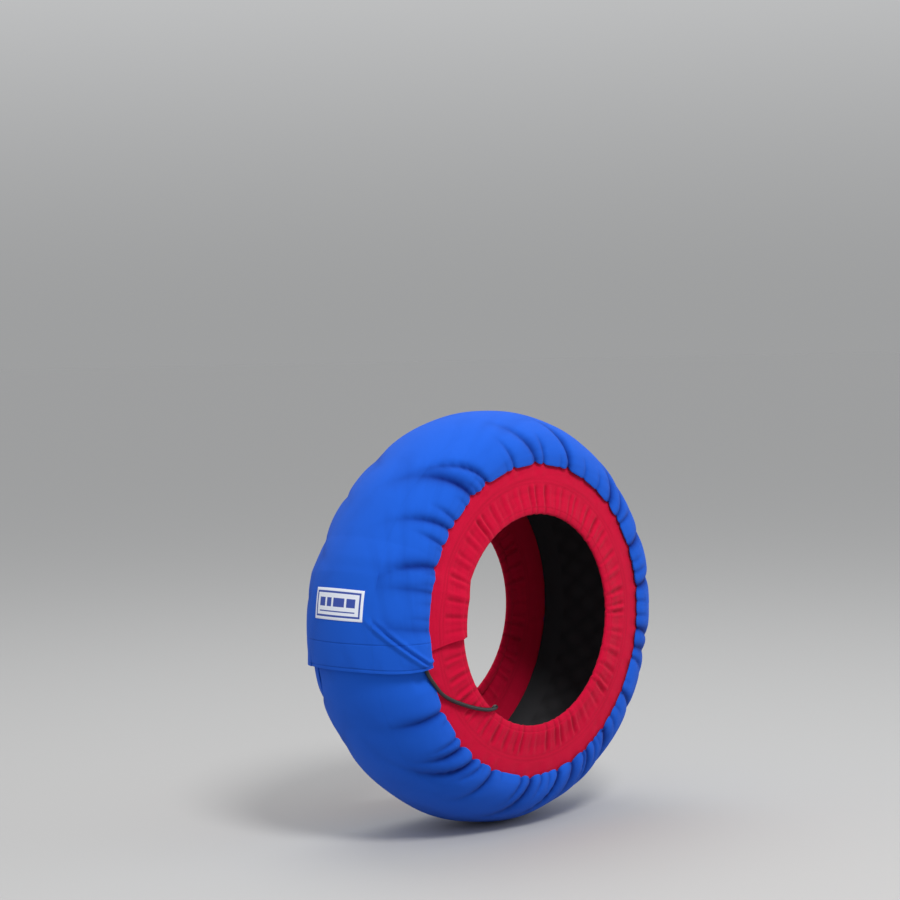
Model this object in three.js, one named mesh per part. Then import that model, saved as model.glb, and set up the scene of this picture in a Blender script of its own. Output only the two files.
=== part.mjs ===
// Electric warming cover for the rear tyre of a racing motorcycle, as it sits round the tyre.
// Millimetres, +Z up. The wheel's axle is the Y axis and the origin is the wheel's centre.
// Angles go round the axle: 0 at +X, 90 at the top, 180 at -X. The near side faces -Y.
import * as THREE from 'three';

// The tyre that the cover is cut for
const seatRadius = 328;
const widestRadius = 259;
const seatHalfWidth = 103;

// Cloth and wadding, from the tyre outwards
const fit = 0.3;
const liningThickness = 1.2;
const heaterThickness = 1.8;
const waddingThickness = 6;
const waddingWrap = 0.4;
const canvasThickness = 1.6;

// The strip is wound round the tyre and its end, the flap, lies over its start
const startAngle = 163;
const endAngle = 551;
const flapEnd = endAngle - 360;
const rampEnd = endAngle - 28;
const rampStart = rampEnd - 10;
const hemFoldThickness = 1.4;

// Hook and loop tape between the start and the flap
const tapeThickness = 1.2;
const tapeFit = 0.5;
const tapeWidth = 50;
const tapeEdgeMargin = 4;
const tapeShare = 0.85;

// Gathers of the side panels into the side cuffs: the angle of each crease, as the cloth falls
const gatherAngles = [
  7, 23, 37, 44, 71, 89, 116, 125, 141, 156, 208,
  225, 233, 244, 265, 280, 288, 297, 309, 326, 344, 351,
];
const gatherHalfWidth = 2.6;
const puffHeight = 4;
const gatherDepth = 2.6;
const treadPuff = 1;
const seamRadius = widestRadius - 3;
const edgePull = 5;
const edgePuff = 4;
const edgeGap = 0.4;

// Elasticated side cuffs: radius of each row, and how far it stands out past the tyre's half width
const cuffThickness = 1.4;
const cuffTuckRadius = seamRadius + 10;
const cuffEndTuck = 10.5;
const stitchRadius = seamRadius - 27;
const cuffTuckFace = seatHalfWidth + 5.9;
const stitchFace = seatHalfWidth + 9.6;
const ruchFace = seatHalfWidth + 10.6;
const rimFace = seatHalfWidth + 11.2;
const pleatCount = 38;
const pleatHeight = 2.2;
const rimPleatHeight = 0.5;
const cuffStart = startAngle + 5;
const cuffEnd = endAngle - 5;
const cuffEndSlant = 3;
const cuffSlantReach = 14;
const cuffEdgeLift = 3.8;
const cuffRimLift = 7.8;

// Hem casing and the elastic in it
const hemRadius = 172;
const hemDepth = 15;
const hemHalfHeight = 3.7;
const hemBendDepth = 6;
const hemInnerBendDepth = 7;
const hemNoseDepth = 2.5;
const hemClothThickness = 1.4;
const elasticInset = 6.2;
const elasticWidth = 5.6;
const elasticHalfHeight = 1.6;
const hemLipRadius = hemRadius + hemDepth;
const cuffRimRadius = hemLipRadius - 2.5;
const ruchRadius = (stitchRadius + cuffRimRadius) / 2;

// Label patch on the tread panel, a little nearer to the near side
const labelAngle = endAngle - 19.5;
const labelLength = 47;
const labelHalfWidth = 51;
const labelShift = 5;
const labelThickness = 0.8;

// Heat cut-out between the lining and the near side panel
const cutoutLength = 20;
const cutoutWidth = 9;
const cutoutHeight = 4.6;
const cutoutAngle = startAngle + 36;
const cutoutShare = 0.78;

// Power lead
const cordDiameter = 6.5;
const cordSides = 8;
const bootLength = 22;
const bootRadius = 3.9;
const bootNoseRadius = 3.5;
const bootCollarShare = 0.35;
const bootAngle = flapEnd - 3;
const bootSeatRadius = seamRadius + 7;
const bootFace = seatHalfWidth + 12.6;
const dentFloor = 6;
const dentEnd = 11;
const flapBulge = 3.6;
const bulgeStart = 15;
const bulgeFull = 8;
const floorDrop = 342;
const coilX = 163;
const coilY = 205;
const coilMidRadius = 36;
const coilHalfWidth = 10;
const coilHeight = 13.6;
const coilBevel = 3;
const coilSegments = 14;
const tieWidth = 12;
const tieThickness = 1.5;
const tieSlack = 1.2;

// Mains plug, lying on its back
const plugLength = 50;
const plugWidth = 48;
const plugHeight = 18;
const plugBevel = 2.5;
const plugShoulder = 14;
const plugSlope = 6;
const plugCorner = 4;
const plugStart = 27.2;
const gripHalf = 6;
const pinSpacing = 22.2;
const pinLength = 17.7;
const earthPinLength = 22.7;
const pinWidth = 6.35;
const earthPinWidth = 8;
const pinThickness = 4;

const degree = Math.PI / 180;

const materials = {
  canvas: new THREE.MeshStandardMaterial({ color: 0x1f4fc4, roughness: 0.9, metalness: 0 }),
  cuffCloth: new THREE.MeshStandardMaterial({ color: 0xc81a34, roughness: 0.9, metalness: 0 }),
  lining: new THREE.MeshStandardMaterial({ color: 0x1b1b1f, roughness: 0.85, metalness: 0 }),
  wadding: new THREE.MeshStandardMaterial({ color: 0xd8d4c8, roughness: 1, metalness: 0 }),
  heater: new THREE.MeshStandardMaterial({ color: 0xb8862e, roughness: 0.8, metalness: 0 }),
  tape: new THREE.MeshStandardMaterial({ color: 0x17181c, roughness: 0.95, metalness: 0 }),
  elastic: new THREE.MeshStandardMaterial({ color: 0xe4e2dc, roughness: 0.9, metalness: 0 }),
  label: new THREE.MeshStandardMaterial({ color: 0xe9ecf2, roughness: 0.7, metalness: 0 }),
  cable: new THREE.MeshStandardMaterial({ color: 0x141416, roughness: 0.55, metalness: 0 }),
  metal: new THREE.MeshStandardMaterial({ color: 0xc9a85a, roughness: 0.3, metalness: 1 }),
};

const cover = new THREE.Group();

function addMesh(name, geometry, material) {
  const mesh = new THREE.Mesh(geometry, material);
  mesh.name = name;
  cover.add(mesh);
  return mesh;
}

// Offsets from the tyre's surface to the outer face of each layer
const liningOut = liningThickness;
const heaterIn = liningOut + fit;
const heaterOut = heaterIn + heaterThickness;
const waddingIn = heaterOut + fit;
const waddingOut = waddingIn + waddingThickness;
const canvasIn = waddingOut + 2 * fit;
const canvasOut = canvasIn + canvasThickness;

// Rise of the flap: it clears the start of the strip and both tapes
const loopIn = canvasOut + tapeFit;
const loopOut = loopIn + tapeThickness;
const hookIn = loopOut + tapeFit;
const hookOut = hookIn + tapeThickness;
const flapIn = hookOut + tapeFit;
const flapRise = flapIn - canvasIn;

// Stations across the section, as angles of an ellipse: 0 on the tread, 90 at the widest point
const crownStation = 12;
const shoulderStation = 36;
const wallStation = 62;
const bulgeStation = 82;
const liningEdgeStation = 88;
const seamGap = 0.12;

function sectionPoint(station, offset) {
  return {
    r: widestRadius + (seatRadius - widestRadius + offset) * Math.cos(station * degree),
    y: (seatHalfWidth + offset) * Math.sin(station * degree),
  };
}

function between(a, b, share) {
  return { r: a.r + (b.r - a.r) * share, y: a.y + (b.y - a.y) * share };
}

function clamp01(value) {
  return Math.min(Math.max(value, 0), 1);
}

function smooth(low, high, value) {
  const share = clamp01((value - low) / (high - low));
  return share * share * (3 - 2 * share);
}

function ramp(angle) {
  return clamp01((angle - rampStart) / (rampEnd - rampStart));
}

// A strip wound round the axle. section(angle) gives two rows of points, the outer face and the
// inner face, and the solid closes over the rows' edges and the strip's two ends.
function woundStrip(angles, section) {
  const rows = angles.map(section);
  const count = rows[0].outer.length;
  const ring = count * 2;
  const positions = [];
  rows.forEach((row, index) => {
    const loop = row.outer.concat([...row.inner].reverse());
    loop.forEach((point) => {
      const angle = (angles[index] + (point.turn ?? 0)) * degree;
      positions.push(point.r * Math.cos(angle), point.y, point.r * Math.sin(angle));
    });
  });
  const triangles = [];
  for (let row = 0; row < rows.length - 1; row += 1) {
    for (let k = 0; k < ring; k += 1) {
      const a = row * ring + k;
      const b = row * ring + ((k + 1) % ring);
      triangles.push(a, b, b + ring, a, b + ring, a + ring);
    }
  }
  const last = (rows.length - 1) * ring;
  for (let k = 0; k < count - 1; k += 1) {
    const opposite = ring - 1 - k;
    triangles.push(k, opposite, opposite - 1, k, opposite - 1, k + 1);
    triangles.push(last + k, last + opposite - 1, last + opposite);
    triangles.push(last + k, last + k + 1, last + opposite - 1);
  }
  return outwardFaces(positions, triangles);
}

// Turns every triangle over if the solid came out inside out
function outwardFaces(positions, triangles) {
  let volume = 0;
  const corner = (index) => new THREE.Vector3(...positions.slice(index * 3, index * 3 + 3));
  for (let k = 0; k < triangles.length; k += 3) {
    const a = corner(triangles[k]);
    const b = corner(triangles[k + 1]);
    const c = corner(triangles[k + 2]);
    volume += a.dot(b.cross(c));
  }
  const outward = [];
  for (let k = 0; k < triangles.length; k += 3) {
    const [a, b, c] = triangles.slice(k, k + 3);
    outward.push(...(volume > 0 ? [a, b, c] : [a, c, b]));
  }
  const geometry = new THREE.BufferGeometry();
  geometry.setAttribute('position', new THREE.Float32BufferAttribute(positions, 3));
  geometry.setIndex(outward);
  geometry.computeVertexNormals();
  return geometry;
}

function mirrored(points) {
  return [...points].reverse().map((point) => ({ ...point, y: -point.y }));
}

// Some creases of the gathers are pulled deeper than others
function gatherStrength(index) {
  return 0.8 + 0.2 * Math.sin(index * 1.9 + 1);
}

// 1 on a crease and 0 between creases, and none where the flap lies flat on the start
function crease(angle) {
  const turned = ((angle % 360) + 360) % 360;
  const depths = gatherAngles.map((centre, index) => {
    const away = ((turned - centre + 540) % 360) - 180;
    return gatherStrength(index) * Math.exp(-((away / gatherHalfWidth) ** 2));
  });
  return Math.max(...depths) * flatness(turned);
}

function puff(angle) {
  const turned = ((angle % 360) + 360) % 360;
  return (1 - crease(angle)) * flatness(turned);
}

// The gathers start again a little way outside the overlap
const gatherMargin = 2;
const gatherBlend = 5;

function flatness(turned) {
  const afterStart = smooth(startAngle - gatherBlend, startAngle, turned);
  const gathersStart = flapEnd + gatherMargin;
  return 1 - afterStart * (1 - smooth(gathersStart, gathersStart + gatherBlend, turned));
}

// Dent of the near side panel's start, in which the lead leaves the cover
function leadDent(angle) {
  const rise = smooth(bootAngle - dentEnd, bootAngle - dentFloor, angle);
  return rise * (1 - smooth(bootAngle + dentFloor, bootAngle + dentEnd, angle));
}

// Bulge of the flap's near corner over the lead
function leadBulge(angle) {
  return smooth(endAngle - bulgeStart, endAngle - bulgeFull, angle);
}

// Angles of the strip's cross sections: on each crease, beside it, and between two creases
const sectionSpacing = 1.2;
const longestStep = 9;
const closeGathers = 10;
const flatSteps = 5;

function isClearOfRamp(angle) {
  const fromStart = Math.abs(angle - rampStart);
  return fromStart > sectionSpacing && Math.abs(angle - rampEnd) > sectionSpacing;
}

function stripAngles() {
  const angles = [rampStart];
  const turned = gatherAngles.flatMap((centre, index) => {
    const next = gatherAngles[index + 1] ?? gatherAngles[0] + 360;
    const middle = (centre + next) / 2;
    if (next - centre < closeGathers) return [centre, middle];
    return [centre, centre + gatherHalfWidth, middle, next - gatherHalfWidth];
  });
  turned.forEach((value) => {
    const angle = value < flapEnd ? value + 360 : value;
    const isAfterFlap = angle > flapEnd + sectionSpacing;
    const isBeforeStart = angle < startAngle + 360 - sectionSpacing;
    if (isAfterFlap && isBeforeStart && isClearOfRamp(angle)) angles.push(angle);
  });
  for (let step = 0; step <= flatSteps; step += 1) {
    const angle = startAngle + ((flapEnd - startAngle) * step) / flatSteps;
    angles.push(angle, angle + 360);
  }
  angles.sort((a, b) => a - b);
  return angles.flatMap((angle, index) => {
    const before = angles[index - 1] ?? angle;
    return angle - before > longestStep ? [(before + angle) / 2, angle] : [angle];
  });
}

// Height of the cover's outer face at a station, and how thick its cloth is there
function coverOffset(angle, station) {
  const lift = flapRise * ramp(angle);
  const isTop = angle > 360 + startAngle - sectionSpacing;
  if (station <= crownStation) return canvasOut + treadPuff * puff(angle) + lift;
  if (station <= shoulderStation) return canvasOut + 0.5 * puffHeight * puff(angle) + lift;
  if (station <= wallStation) return canvasOut + puffHeight * puff(angle) + lift;
  const sink = isTop ? 0 : gatherDepth * crease(angle);
  return canvasOut + puffHeight * puff(angle) - sink + lift;
}

function clothAt(angle) {
  return canvasThickness + hemFoldThickness * ramp(angle);
}

// The cover's inner face lies one cloth inside the outer face
function coverStation(angle, station, isNear) {
  const cloth = clothAt(angle);
  let offset = coverOffset(angle, station);
  if (isNear && station === bulgeStation) {
    offset -= gatherDepth * leadDent(angle) * (1 - crease(angle));
    offset += flapBulge * leadBulge(angle);
  }
  const extra = hemFoldThickness * ramp(angle);
  return {
    outer: sectionPoint(station, offset + extra),
    inner: sectionPoint(station, offset + extra - cloth),
  };
}

function cuffFaceAt(radius) {
  const share = (cuffTuckRadius - radius) / (cuffTuckRadius - stitchRadius);
  return cuffTuckFace + (stitchFace - cuffTuckFace) * share;
}

// The side panel's edge turns in to the cuff and is sewn to it
function coverEdge(angle, isNear) {
  const cloth = clothAt(angle);
  const dented = isNear ? leadDent(angle) : 0;
  const pull = Math.max(crease(angle), dented);
  const radius = seamRadius + edgePull * pull - edgePuff * puff(angle) * (1 - dented);
  const bulge = isNear ? flapBulge * leadBulge(angle) : 0;
  const face = cuffFaceAt(radius) + edgeGap + flapRise * ramp(angle) + bulge;
  return { outer: { r: radius, y: face + cloth }, inner: { r: radius, y: face } };
}

function splitFaces(stations) {
  return {
    outer: stations.map((station) => station.outer),
    inner: stations.map((station) => station.inner),
  };
}

function mirrorFaces(faces) {
  return { outer: mirrored(faces.outer), inner: mirrored(faces.inner) };
}

// Outer cover: a tread panel and two gathered side panels, sewn together on the shoulders
function treadSection(angle) {
  const half = splitFaces([
    coverStation(angle, crownStation, false),
    coverStation(angle, shoulderStation - seamGap, false),
  ]);
  const other = mirrorFaces(half);
  return { outer: other.outer.concat(half.outer), inner: other.inner.concat(half.inner) };
}

function sideSection(angle, isNear) {
  const faces = splitFaces([
    coverStation(angle, shoulderStation + seamGap, isNear),
    coverStation(angle, wallStation, isNear),
    coverStation(angle, bulgeStation, isNear),
    coverEdge(angle, isNear),
  ]);
  return isNear ? mirrorFaces(faces) : faces;
}

const coverAngles = stripAngles();
addMesh('tread_panel', woundStrip(coverAngles, treadSection), materials.canvas);
addMesh('near_side_panel', woundStrip(coverAngles, (a) => sideSection(a, true)), materials.canvas);
addMesh('far_side_panel', woundStrip(coverAngles, (a) => sideSection(a, false)), materials.canvas);

// Inner layers: they go once round the tyre and butt where the strip closes
const layerSteps = 24;
const buttGap = 0.3;

function layerAngles() {
  const first = startAngle + buttGap;
  const span = 360 - 2 * buttGap;
  return Array.from({ length: layerSteps + 1 }, (_, step) => first + (span * step) / layerSteps);
}

function layerFaces(points) {
  const half = splitFaces(points);
  const other = mirrorFaces(half);
  return { outer: other.outer.concat(half.outer), inner: other.inner.concat(half.inner) };
}

function layerStation(station, low, high) {
  return { outer: sectionPoint(station, high), inner: sectionPoint(station, low) };
}

function layerPart(share, low, high) {
  const from = layerStation(shoulderStation, low, high);
  const to = layerStation(wallStation, low, high);
  return {
    outer: between(from.outer, to.outer, share),
    inner: between(from.inner, to.inner, share),
  };
}

const liningSection = layerFaces([
  layerStation(crownStation, 0, liningOut),
  layerStation(shoulderStation, 0, liningOut),
  layerStation(wallStation, 0, liningOut),
  layerStation(liningEdgeStation, 0, liningOut),
]);
const heaterSection = layerFaces([
  layerStation(crownStation, heaterIn, heaterOut),
  layerStation(shoulderStation, heaterIn, heaterOut),
]);
const waddingSection = layerFaces([
  layerStation(crownStation, waddingIn, waddingOut),
  layerStation(shoulderStation, waddingIn, waddingOut),
  layerPart(waddingWrap, waddingIn, waddingOut),
]);
addMesh('inner_lining', woundStrip(layerAngles(), () => liningSection), materials.lining);
addMesh('heater_mat', woundStrip(layerAngles(), () => heaterSection), materials.heater);
addMesh('insulation_layer', woundStrip(layerAngles(), () => waddingSection), materials.wadding);

// Side cuffs: flat where they are sewn on, then ruched by the elastic in their hem
const pleatStep = 360 / pleatCount / 2;

function pleat(index) {
  const side = index % 2 === 0 ? 1 : -1;
  return side * (0.75 + 0.25 * Math.sin(index * 1.3));
}

function cuffStations() {
  const stations = [cuffStart, cuffEnd, rampStart, rampEnd].map((angle) => ({ angle, wave: 0 }));
  for (let index = 0; index < pleatCount * 2; index += 1) {
    const base = index * pleatStep;
    const wave = pleat(index) * flatness(base);
    [base, base + 360].forEach((angle) => {
      const isInside = angle > cuffStart + sectionSpacing && angle < cuffEnd - sectionSpacing;
      if (isInside && isClearOfRamp(angle)) stations.push({ angle, wave });
    });
  }
  return stations.sort((a, b) => a.angle - b.angle);
}

function cuffLift(radius, angle) {
  const share = clamp01((seamRadius - radius) / (seamRadius - hemLipRadius));
  return (cuffEdgeLift + (cuffRimLift - cuffEdgeLift) * share) * ramp(angle);
}

function cuffTurn(radius, angle) {
  const share = clamp01((seamRadius - radius) / (seamRadius - hemRadius));
  return -cuffEndSlant * share * smooth(cuffEnd - cuffSlantReach, cuffEnd, angle);
}

function cuffPoint(radius, face, angle) {
  return { r: radius, y: face + cuffLift(radius, angle), turn: cuffTurn(radius, angle) };
}

function cuffSection(station, isNear) {
  const { angle, wave } = station;
  const tuckRadius = cuffTuckRadius - cuffEndTuck * ramp(angle);
  const rows = [
    [tuckRadius, cuffFaceAt(tuckRadius)],
    [stitchRadius, stitchFace],
    [ruchRadius, ruchFace + pleatHeight * wave],
    [cuffRimRadius, rimFace + rimPleatHeight * wave],
  ];
  const faces = {
    outer: rows.map(([radius, face]) => cuffPoint(radius, face, angle)),
    inner: rows.map(([radius, face]) => cuffPoint(radius, face - cuffThickness, angle)),
  };
  return isNear ? mirrorFaces(faces) : faces;
}

const cuffRows = cuffStations();
const cuffAngles = cuffRows.map((station) => station.angle);

function cuffGeometry(isNear) {
  return woundStrip(cuffAngles, (angle) => {
    const station = cuffRows[cuffAngles.indexOf(angle)];
    return cuffSection(station, isNear);
  });
}

addMesh('near_cuff', cuffGeometry(true), materials.cuffCloth);
addMesh('far_cuff', cuffGeometry(false), materials.cuffCloth);

// Hem casing: a binding folded over the cuff's inner edge, with the elastic inside it
const hemSteps = 26;
const hemMid = rimFace - cuffThickness / 2;

function hemAngles() {
  const angles = [cuffStart, rampStart, rampEnd, cuffEnd];
  for (let step = 1; step < hemSteps; step += 1) {
    angles.push(cuffStart + ((cuffEnd - cuffStart) * step) / hemSteps);
  }
  return angles.sort((a, b) => a - b);
}

function hemFaces(angle, outline, isNear) {
  const faces = {
    outer: outline.outer.map(([radius, height]) => cuffPoint(radius, hemMid + height, angle)),
    inner: outline.inner.map(([radius, height]) => cuffPoint(radius, hemMid + height, angle)),
  };
  return isNear ? mirrorFaces(faces) : faces;
}

const hemBend = hemRadius + hemBendDepth;
const hemInnerBend = hemRadius + hemInnerBendDepth;
const hemInside = hemHalfHeight - hemClothThickness;
const casingOutline = {
  outer: [
    [hemLipRadius, hemHalfHeight - fit],
    [hemBend, hemHalfHeight],
    [hemRadius, 0],
    [hemBend, -hemHalfHeight],
    [hemLipRadius, -hemHalfHeight + fit],
  ],
  inner: [
    [hemLipRadius, hemInside - fit],
    [hemInnerBend, hemInside],
    [hemRadius + hemNoseDepth, 0],
    [hemInnerBend, -hemInside],
    [hemLipRadius, -hemInside + fit],
  ],
};
const elasticInnerRadius = hemRadius + elasticInset;
const elasticOuterRadius = elasticInnerRadius + elasticWidth;
const elasticOutline = {
  outer: [[elasticInnerRadius, elasticHalfHeight], [elasticOuterRadius, elasticHalfHeight]],
  inner: [[elasticInnerRadius, -elasticHalfHeight], [elasticOuterRadius, -elasticHalfHeight]],
};

function hemGeometry(outline, isNear) {
  return woundStrip(hemAngles(), (angle) => hemFaces(angle, outline, isNear));
}

addMesh('near_hem_casing', hemGeometry(casingOutline, true), materials.cuffCloth);
addMesh('far_hem_casing', hemGeometry(casingOutline, false), materials.cuffCloth);
addMesh('near_elastic', hemGeometry(elasticOutline, true), materials.elastic);
addMesh('far_elastic', hemGeometry(elasticOutline, false), materials.elastic);

// Closing tapes: loop tape on the strip's start, hook tape under the flap's end
const tapeSpan = tapeWidth / seatRadius / degree;
const tapeEnd = endAngle - tapeEdgeMargin / seatRadius / degree;
const tapeAngles = [tapeEnd - tapeSpan, tapeEnd - tapeSpan / 2, tapeEnd];

function tapeSection(low, high) {
  const crown = layerStation(crownStation, low, high);
  const shoulder = layerStation(shoulderStation, low, high);
  const edge = {
    outer: between(crown.outer, shoulder.outer, tapeShare),
    inner: between(crown.inner, shoulder.inner, tapeShare),
  };
  return layerFaces([crown, edge]);
}

function tapeGeometry(turn, low, high) {
  const angles = tapeAngles.map((angle) => angle + turn);
  return woundStrip(angles, () => tapeSection(low, high));
}

addMesh('loop_tape', tapeGeometry(-360, loopIn, loopOut), materials.tape);
addMesh('hook_tape', tapeGeometry(0, hookIn, hookOut), materials.tape);

// Label patch sewn to the tread panel above the flap's end
const labelSpan = labelLength / seatRadius / degree;
const labelIn = flapRise + canvasOut + hemFoldThickness + fit;

function labelHalf(width) {
  const crown = layerStation(crownStation, labelIn, labelIn + labelThickness);
  const shoulder = layerStation(shoulderStation, labelIn, labelIn + labelThickness);
  const edgeStation = Math.asin(width / (seatHalfWidth + labelIn)) / degree;
  const share = (edgeStation - crownStation) / (shoulderStation - crownStation);
  return splitFaces([
    crown,
    {
      outer: between(crown.outer, shoulder.outer, share),
      inner: between(crown.inner, shoulder.inner, share),
    },
  ]);
}

function labelSection() {
  const near = mirrorFaces(labelHalf(labelHalfWidth + labelShift));
  const far = labelHalf(labelHalfWidth - labelShift);
  return { outer: near.outer.concat(far.outer), inner: near.inner.concat(far.inner) };
}

const labelAngles = [-0.5, 0, 0.5].map((share) => labelAngle + share * labelSpan);
addMesh('label_patch', woundStrip(labelAngles, labelSection), materials.label);

// A rigid piece placed by its centre and the directions of its own X, Y and Z
function placeAlong(mesh, centre, xAxis, yAxis, zAxis) {
  mesh.quaternion.setFromRotationMatrix(new THREE.Matrix4().makeBasis(xAxis, yAxis, zAxis));
  mesh.position.copy(centre);
}

function onRing(angle, radius, y) {
  return new THREE.Vector3(
    radius * Math.cos(angle * degree),
    y,
    radius * Math.sin(angle * degree),
  );
}

// Heat cut-out: a small moulded switch on the lining, over one of its folds
const cutoutStep = Math.round((cutoutAngle - startAngle) / (360 / layerSteps));
const cutoutRest = layerAngles()[cutoutStep];
const liningShoulder = sectionPoint(shoulderStation, liningOut);
const liningWall = sectionPoint(wallStation, liningOut);
const cutoutFoot = between(liningShoulder, liningWall, cutoutShare);
const wallRun = new THREE.Vector2(liningWall.r - liningShoulder.r, liningWall.y - liningShoulder.y);
wallRun.normalize();
const cutoutRise = cutoutHeight / 2 + fit;
const cutoutCentre = onRing(
  cutoutRest,
  cutoutFoot.r + wallRun.y * cutoutRise,
  -(cutoutFoot.y - wallRun.x * cutoutRise),
);
const cutoutUp = onRing(cutoutRest, wallRun.y, wallRun.x).normalize();
const cutoutAcross = onRing(cutoutRest, wallRun.x, -wallRun.y).normalize();
const cutoutAlong = new THREE.Vector3().crossVectors(cutoutAcross, cutoutUp);
const cutoutBody = new THREE.BoxGeometry(cutoutLength, cutoutWidth, cutoutHeight);
const cutoutMesh = addMesh('heat_cutout', cutoutBody, materials.cable);
placeAlong(cutoutMesh, cutoutCentre, cutoutAlong, cutoutAcross, cutoutUp);

// Boot of the lead: a tapered rubber sleeve in the dent under the flap's near corner
const bootProfile = [
  new THREE.Vector2(0, 0),
  new THREE.Vector2(bootRadius, 0),
  new THREE.Vector2(bootRadius, bootLength * bootCollarShare),
  new THREE.Vector2(bootNoseRadius, bootLength),
  new THREE.Vector2(0, bootLength),
];
const bootMesh = addMesh('lead_boot', new THREE.LatheGeometry(bootProfile, 10), materials.cable);
const bootDirection = onRing(bootAngle + 90, 1, 0);
const bootOut = onRing(bootAngle, 1, 0);
const bootSide = new THREE.Vector3().crossVectors(bootOut, bootDirection);
const bootCentre = onRing(bootAngle, bootSeatRadius, -bootFace);
const bootTail = bootCentre.clone().addScaledVector(bootDirection, -bootLength / 2);
placeAlong(bootMesh, bootTail, bootOut, bootDirection, bootSide);

// The lead over the cuff and its hem, as angle, radius and Y
const cuffRoute = [
  [193.6, 262.0, -116.9],
  [197.5, 255.5, -118.6],
  [202.0, 246.0, -117.4],
  [207.0, 231.5, -116.6],
  [212.5, 215.0, -118.6],
  [218.0, 200.5, -119.7],
  [223.0, 188.5, -120.8],
  [227.0, 179.0, -121.6],
  [230.0, 170.5, -119.8],
  [232.5, 164.5, -114.0],
  [234.5, 161.5, -105.0],
];

// The lead hangs in the bore from hem to hem, and comes over the far hem, as X, Y and Z
const boreRoute = [
  [-88, -92, -141],
  [-78, -70, -160],
  [-62, -38, -180],
  [-40, 0, -193],
  [-14, 38, -194],
  [10, 70, -181],
  [27, 93, -164],
];

// Then it hangs down the far side to the floor and runs to its coil
const floorRoute = [
  [38, 108, -155],
  [45, 118, -158],
  [51, 123.5, -168],
  [55, 125, -185],
  [59, 125, -210],
  [62, 125.2, -240],
  [64, 125.5, -270],
  [65, 126, -298],
  [67, 127, -317],
  [74, 129, -331.5],
  [88, 133.4, -338],
  [110, 141, -338.6],
  [133, 149.3, -338.6],
  [156.2, 157.5, -338.6],
];

const bootNose = bootCentre.clone().addScaledVector(bootDirection, bootLength / 2 + fit);
const bootStraight = bootNose.clone().addScaledVector(bootDirection, bootRadius);
const leadPoints = [
  bootNose,
  bootStraight,
  ...cuffRoute.map(([angle, radius, y]) => onRing(angle, radius, y)),
  ...boreRoute.map(([x, y, z]) => new THREE.Vector3(x, y, z)),
  ...floorRoute.map(([x, y, z]) => new THREE.Vector3(x, y, z)),
];
const leadCurve = new THREE.CatmullRomCurve3(leadPoints, false, 'centripetal');
const leadSteps = 46;
const cordSection = new THREE.Shape();
for (let side = 0; side < cordSides; side += 1) {
  const turn = (side * 2 * Math.PI) / cordSides;
  const x = (Math.cos(turn) * cordDiameter) / 2;
  const y = (Math.sin(turn) * cordDiameter) / 2;
  if (side === 0) cordSection.moveTo(x, y);
  else cordSection.lineTo(x, y);
}
cordSection.closePath();
const leadGeometry = new THREE.ExtrudeGeometry(cordSection, {
  steps: leadSteps,
  extrudePath: leadCurve,
  bevelEnabled: false,
});
addMesh('power_cord', leadGeometry, materials.cable);

// The rest of the lead in a round coil on the floor, with a tie round its turns
const coilBase = -floorDrop + tieThickness + 2 * fit;
const coilProfile = [
  [coilMidRadius - coilHalfWidth, coilBevel],
  [coilMidRadius - coilHalfWidth + coilBevel, 0],
  [coilMidRadius + coilHalfWidth - coilBevel, 0],
  [coilMidRadius + coilHalfWidth, coilBevel],
  [coilMidRadius + coilHalfWidth, coilHeight - coilBevel],
  [coilMidRadius + coilHalfWidth - coilBevel, coilHeight],
  [coilMidRadius - coilHalfWidth + coilBevel, coilHeight],
  [coilMidRadius - coilHalfWidth, coilHeight - coilBevel],
  [coilMidRadius - coilHalfWidth, coilBevel],
].map(([x, y]) => new THREE.Vector2(x, y));
const coilMesh = addMesh('cord_coil', new THREE.LatheGeometry(coilProfile, coilSegments), materials.cable);
coilMesh.rotation.x = Math.PI / 2;
coilMesh.position.set(coilX, coilY, coilBase);

function rectangle(shape, halfWidth, low, high) {
  shape.moveTo(-halfWidth, low);
  shape.lineTo(halfWidth, low);
  shape.lineTo(halfWidth, high);
  shape.lineTo(-halfWidth, high);
  shape.closePath();
}

const tieInnerHalf = coilHalfWidth + fit + tieSlack;
const tieLoop = new THREE.Shape();
rectangle(tieLoop, tieInnerHalf + tieThickness, 0, coilHeight + 2 * fit + 2 * tieThickness);
const tieHole = new THREE.Path();
rectangle(tieHole, tieInnerHalf, tieThickness, coilHeight + 2 * fit + tieThickness);
tieLoop.holes.push(tieHole);
const tieGeometry = new THREE.ExtrudeGeometry(tieLoop, { depth: tieWidth, bevelEnabled: false });
tieGeometry.translate(0, 0, -tieWidth / 2);
const tieMesh = addMesh('cord_tie', tieGeometry, materials.tape);
tieMesh.rotation.x = Math.PI / 2;
tieMesh.position.set(coilX + coilMidRadius, coilY, -floorDrop + fit);

// Plug: the lead's last turn runs straight into its cord grip
const plugShape = new THREE.Shape();
const plugEnd = plugShoulder + plugLength;
const plugHalf = plugWidth / 2;
const plugOutline = [
  [0, gripHalf],
  [plugShoulder - plugSlope, gripHalf],
  [plugShoulder, plugHalf - plugSlope],
  [plugShoulder + plugSlope, plugHalf],
  [plugEnd - plugCorner, plugHalf],
  [plugEnd, plugHalf - plugCorner],
];
const plugBelow = plugOutline.map(([x, y]) => new THREE.Vector2(x, -y));
const plugAbove = [...plugOutline].reverse().map(([x, y]) => new THREE.Vector2(x, y));
plugShape.setFromPoints([...plugBelow, ...plugAbove]);
const plugGeometry = new THREE.ExtrudeGeometry(plugShape, {
  depth: plugHeight - 2 * plugBevel,
  bevelThickness: plugBevel,
  bevelSize: plugBevel,
  bevelOffset: -plugBevel,
  bevelSegments: 1,
});
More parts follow.
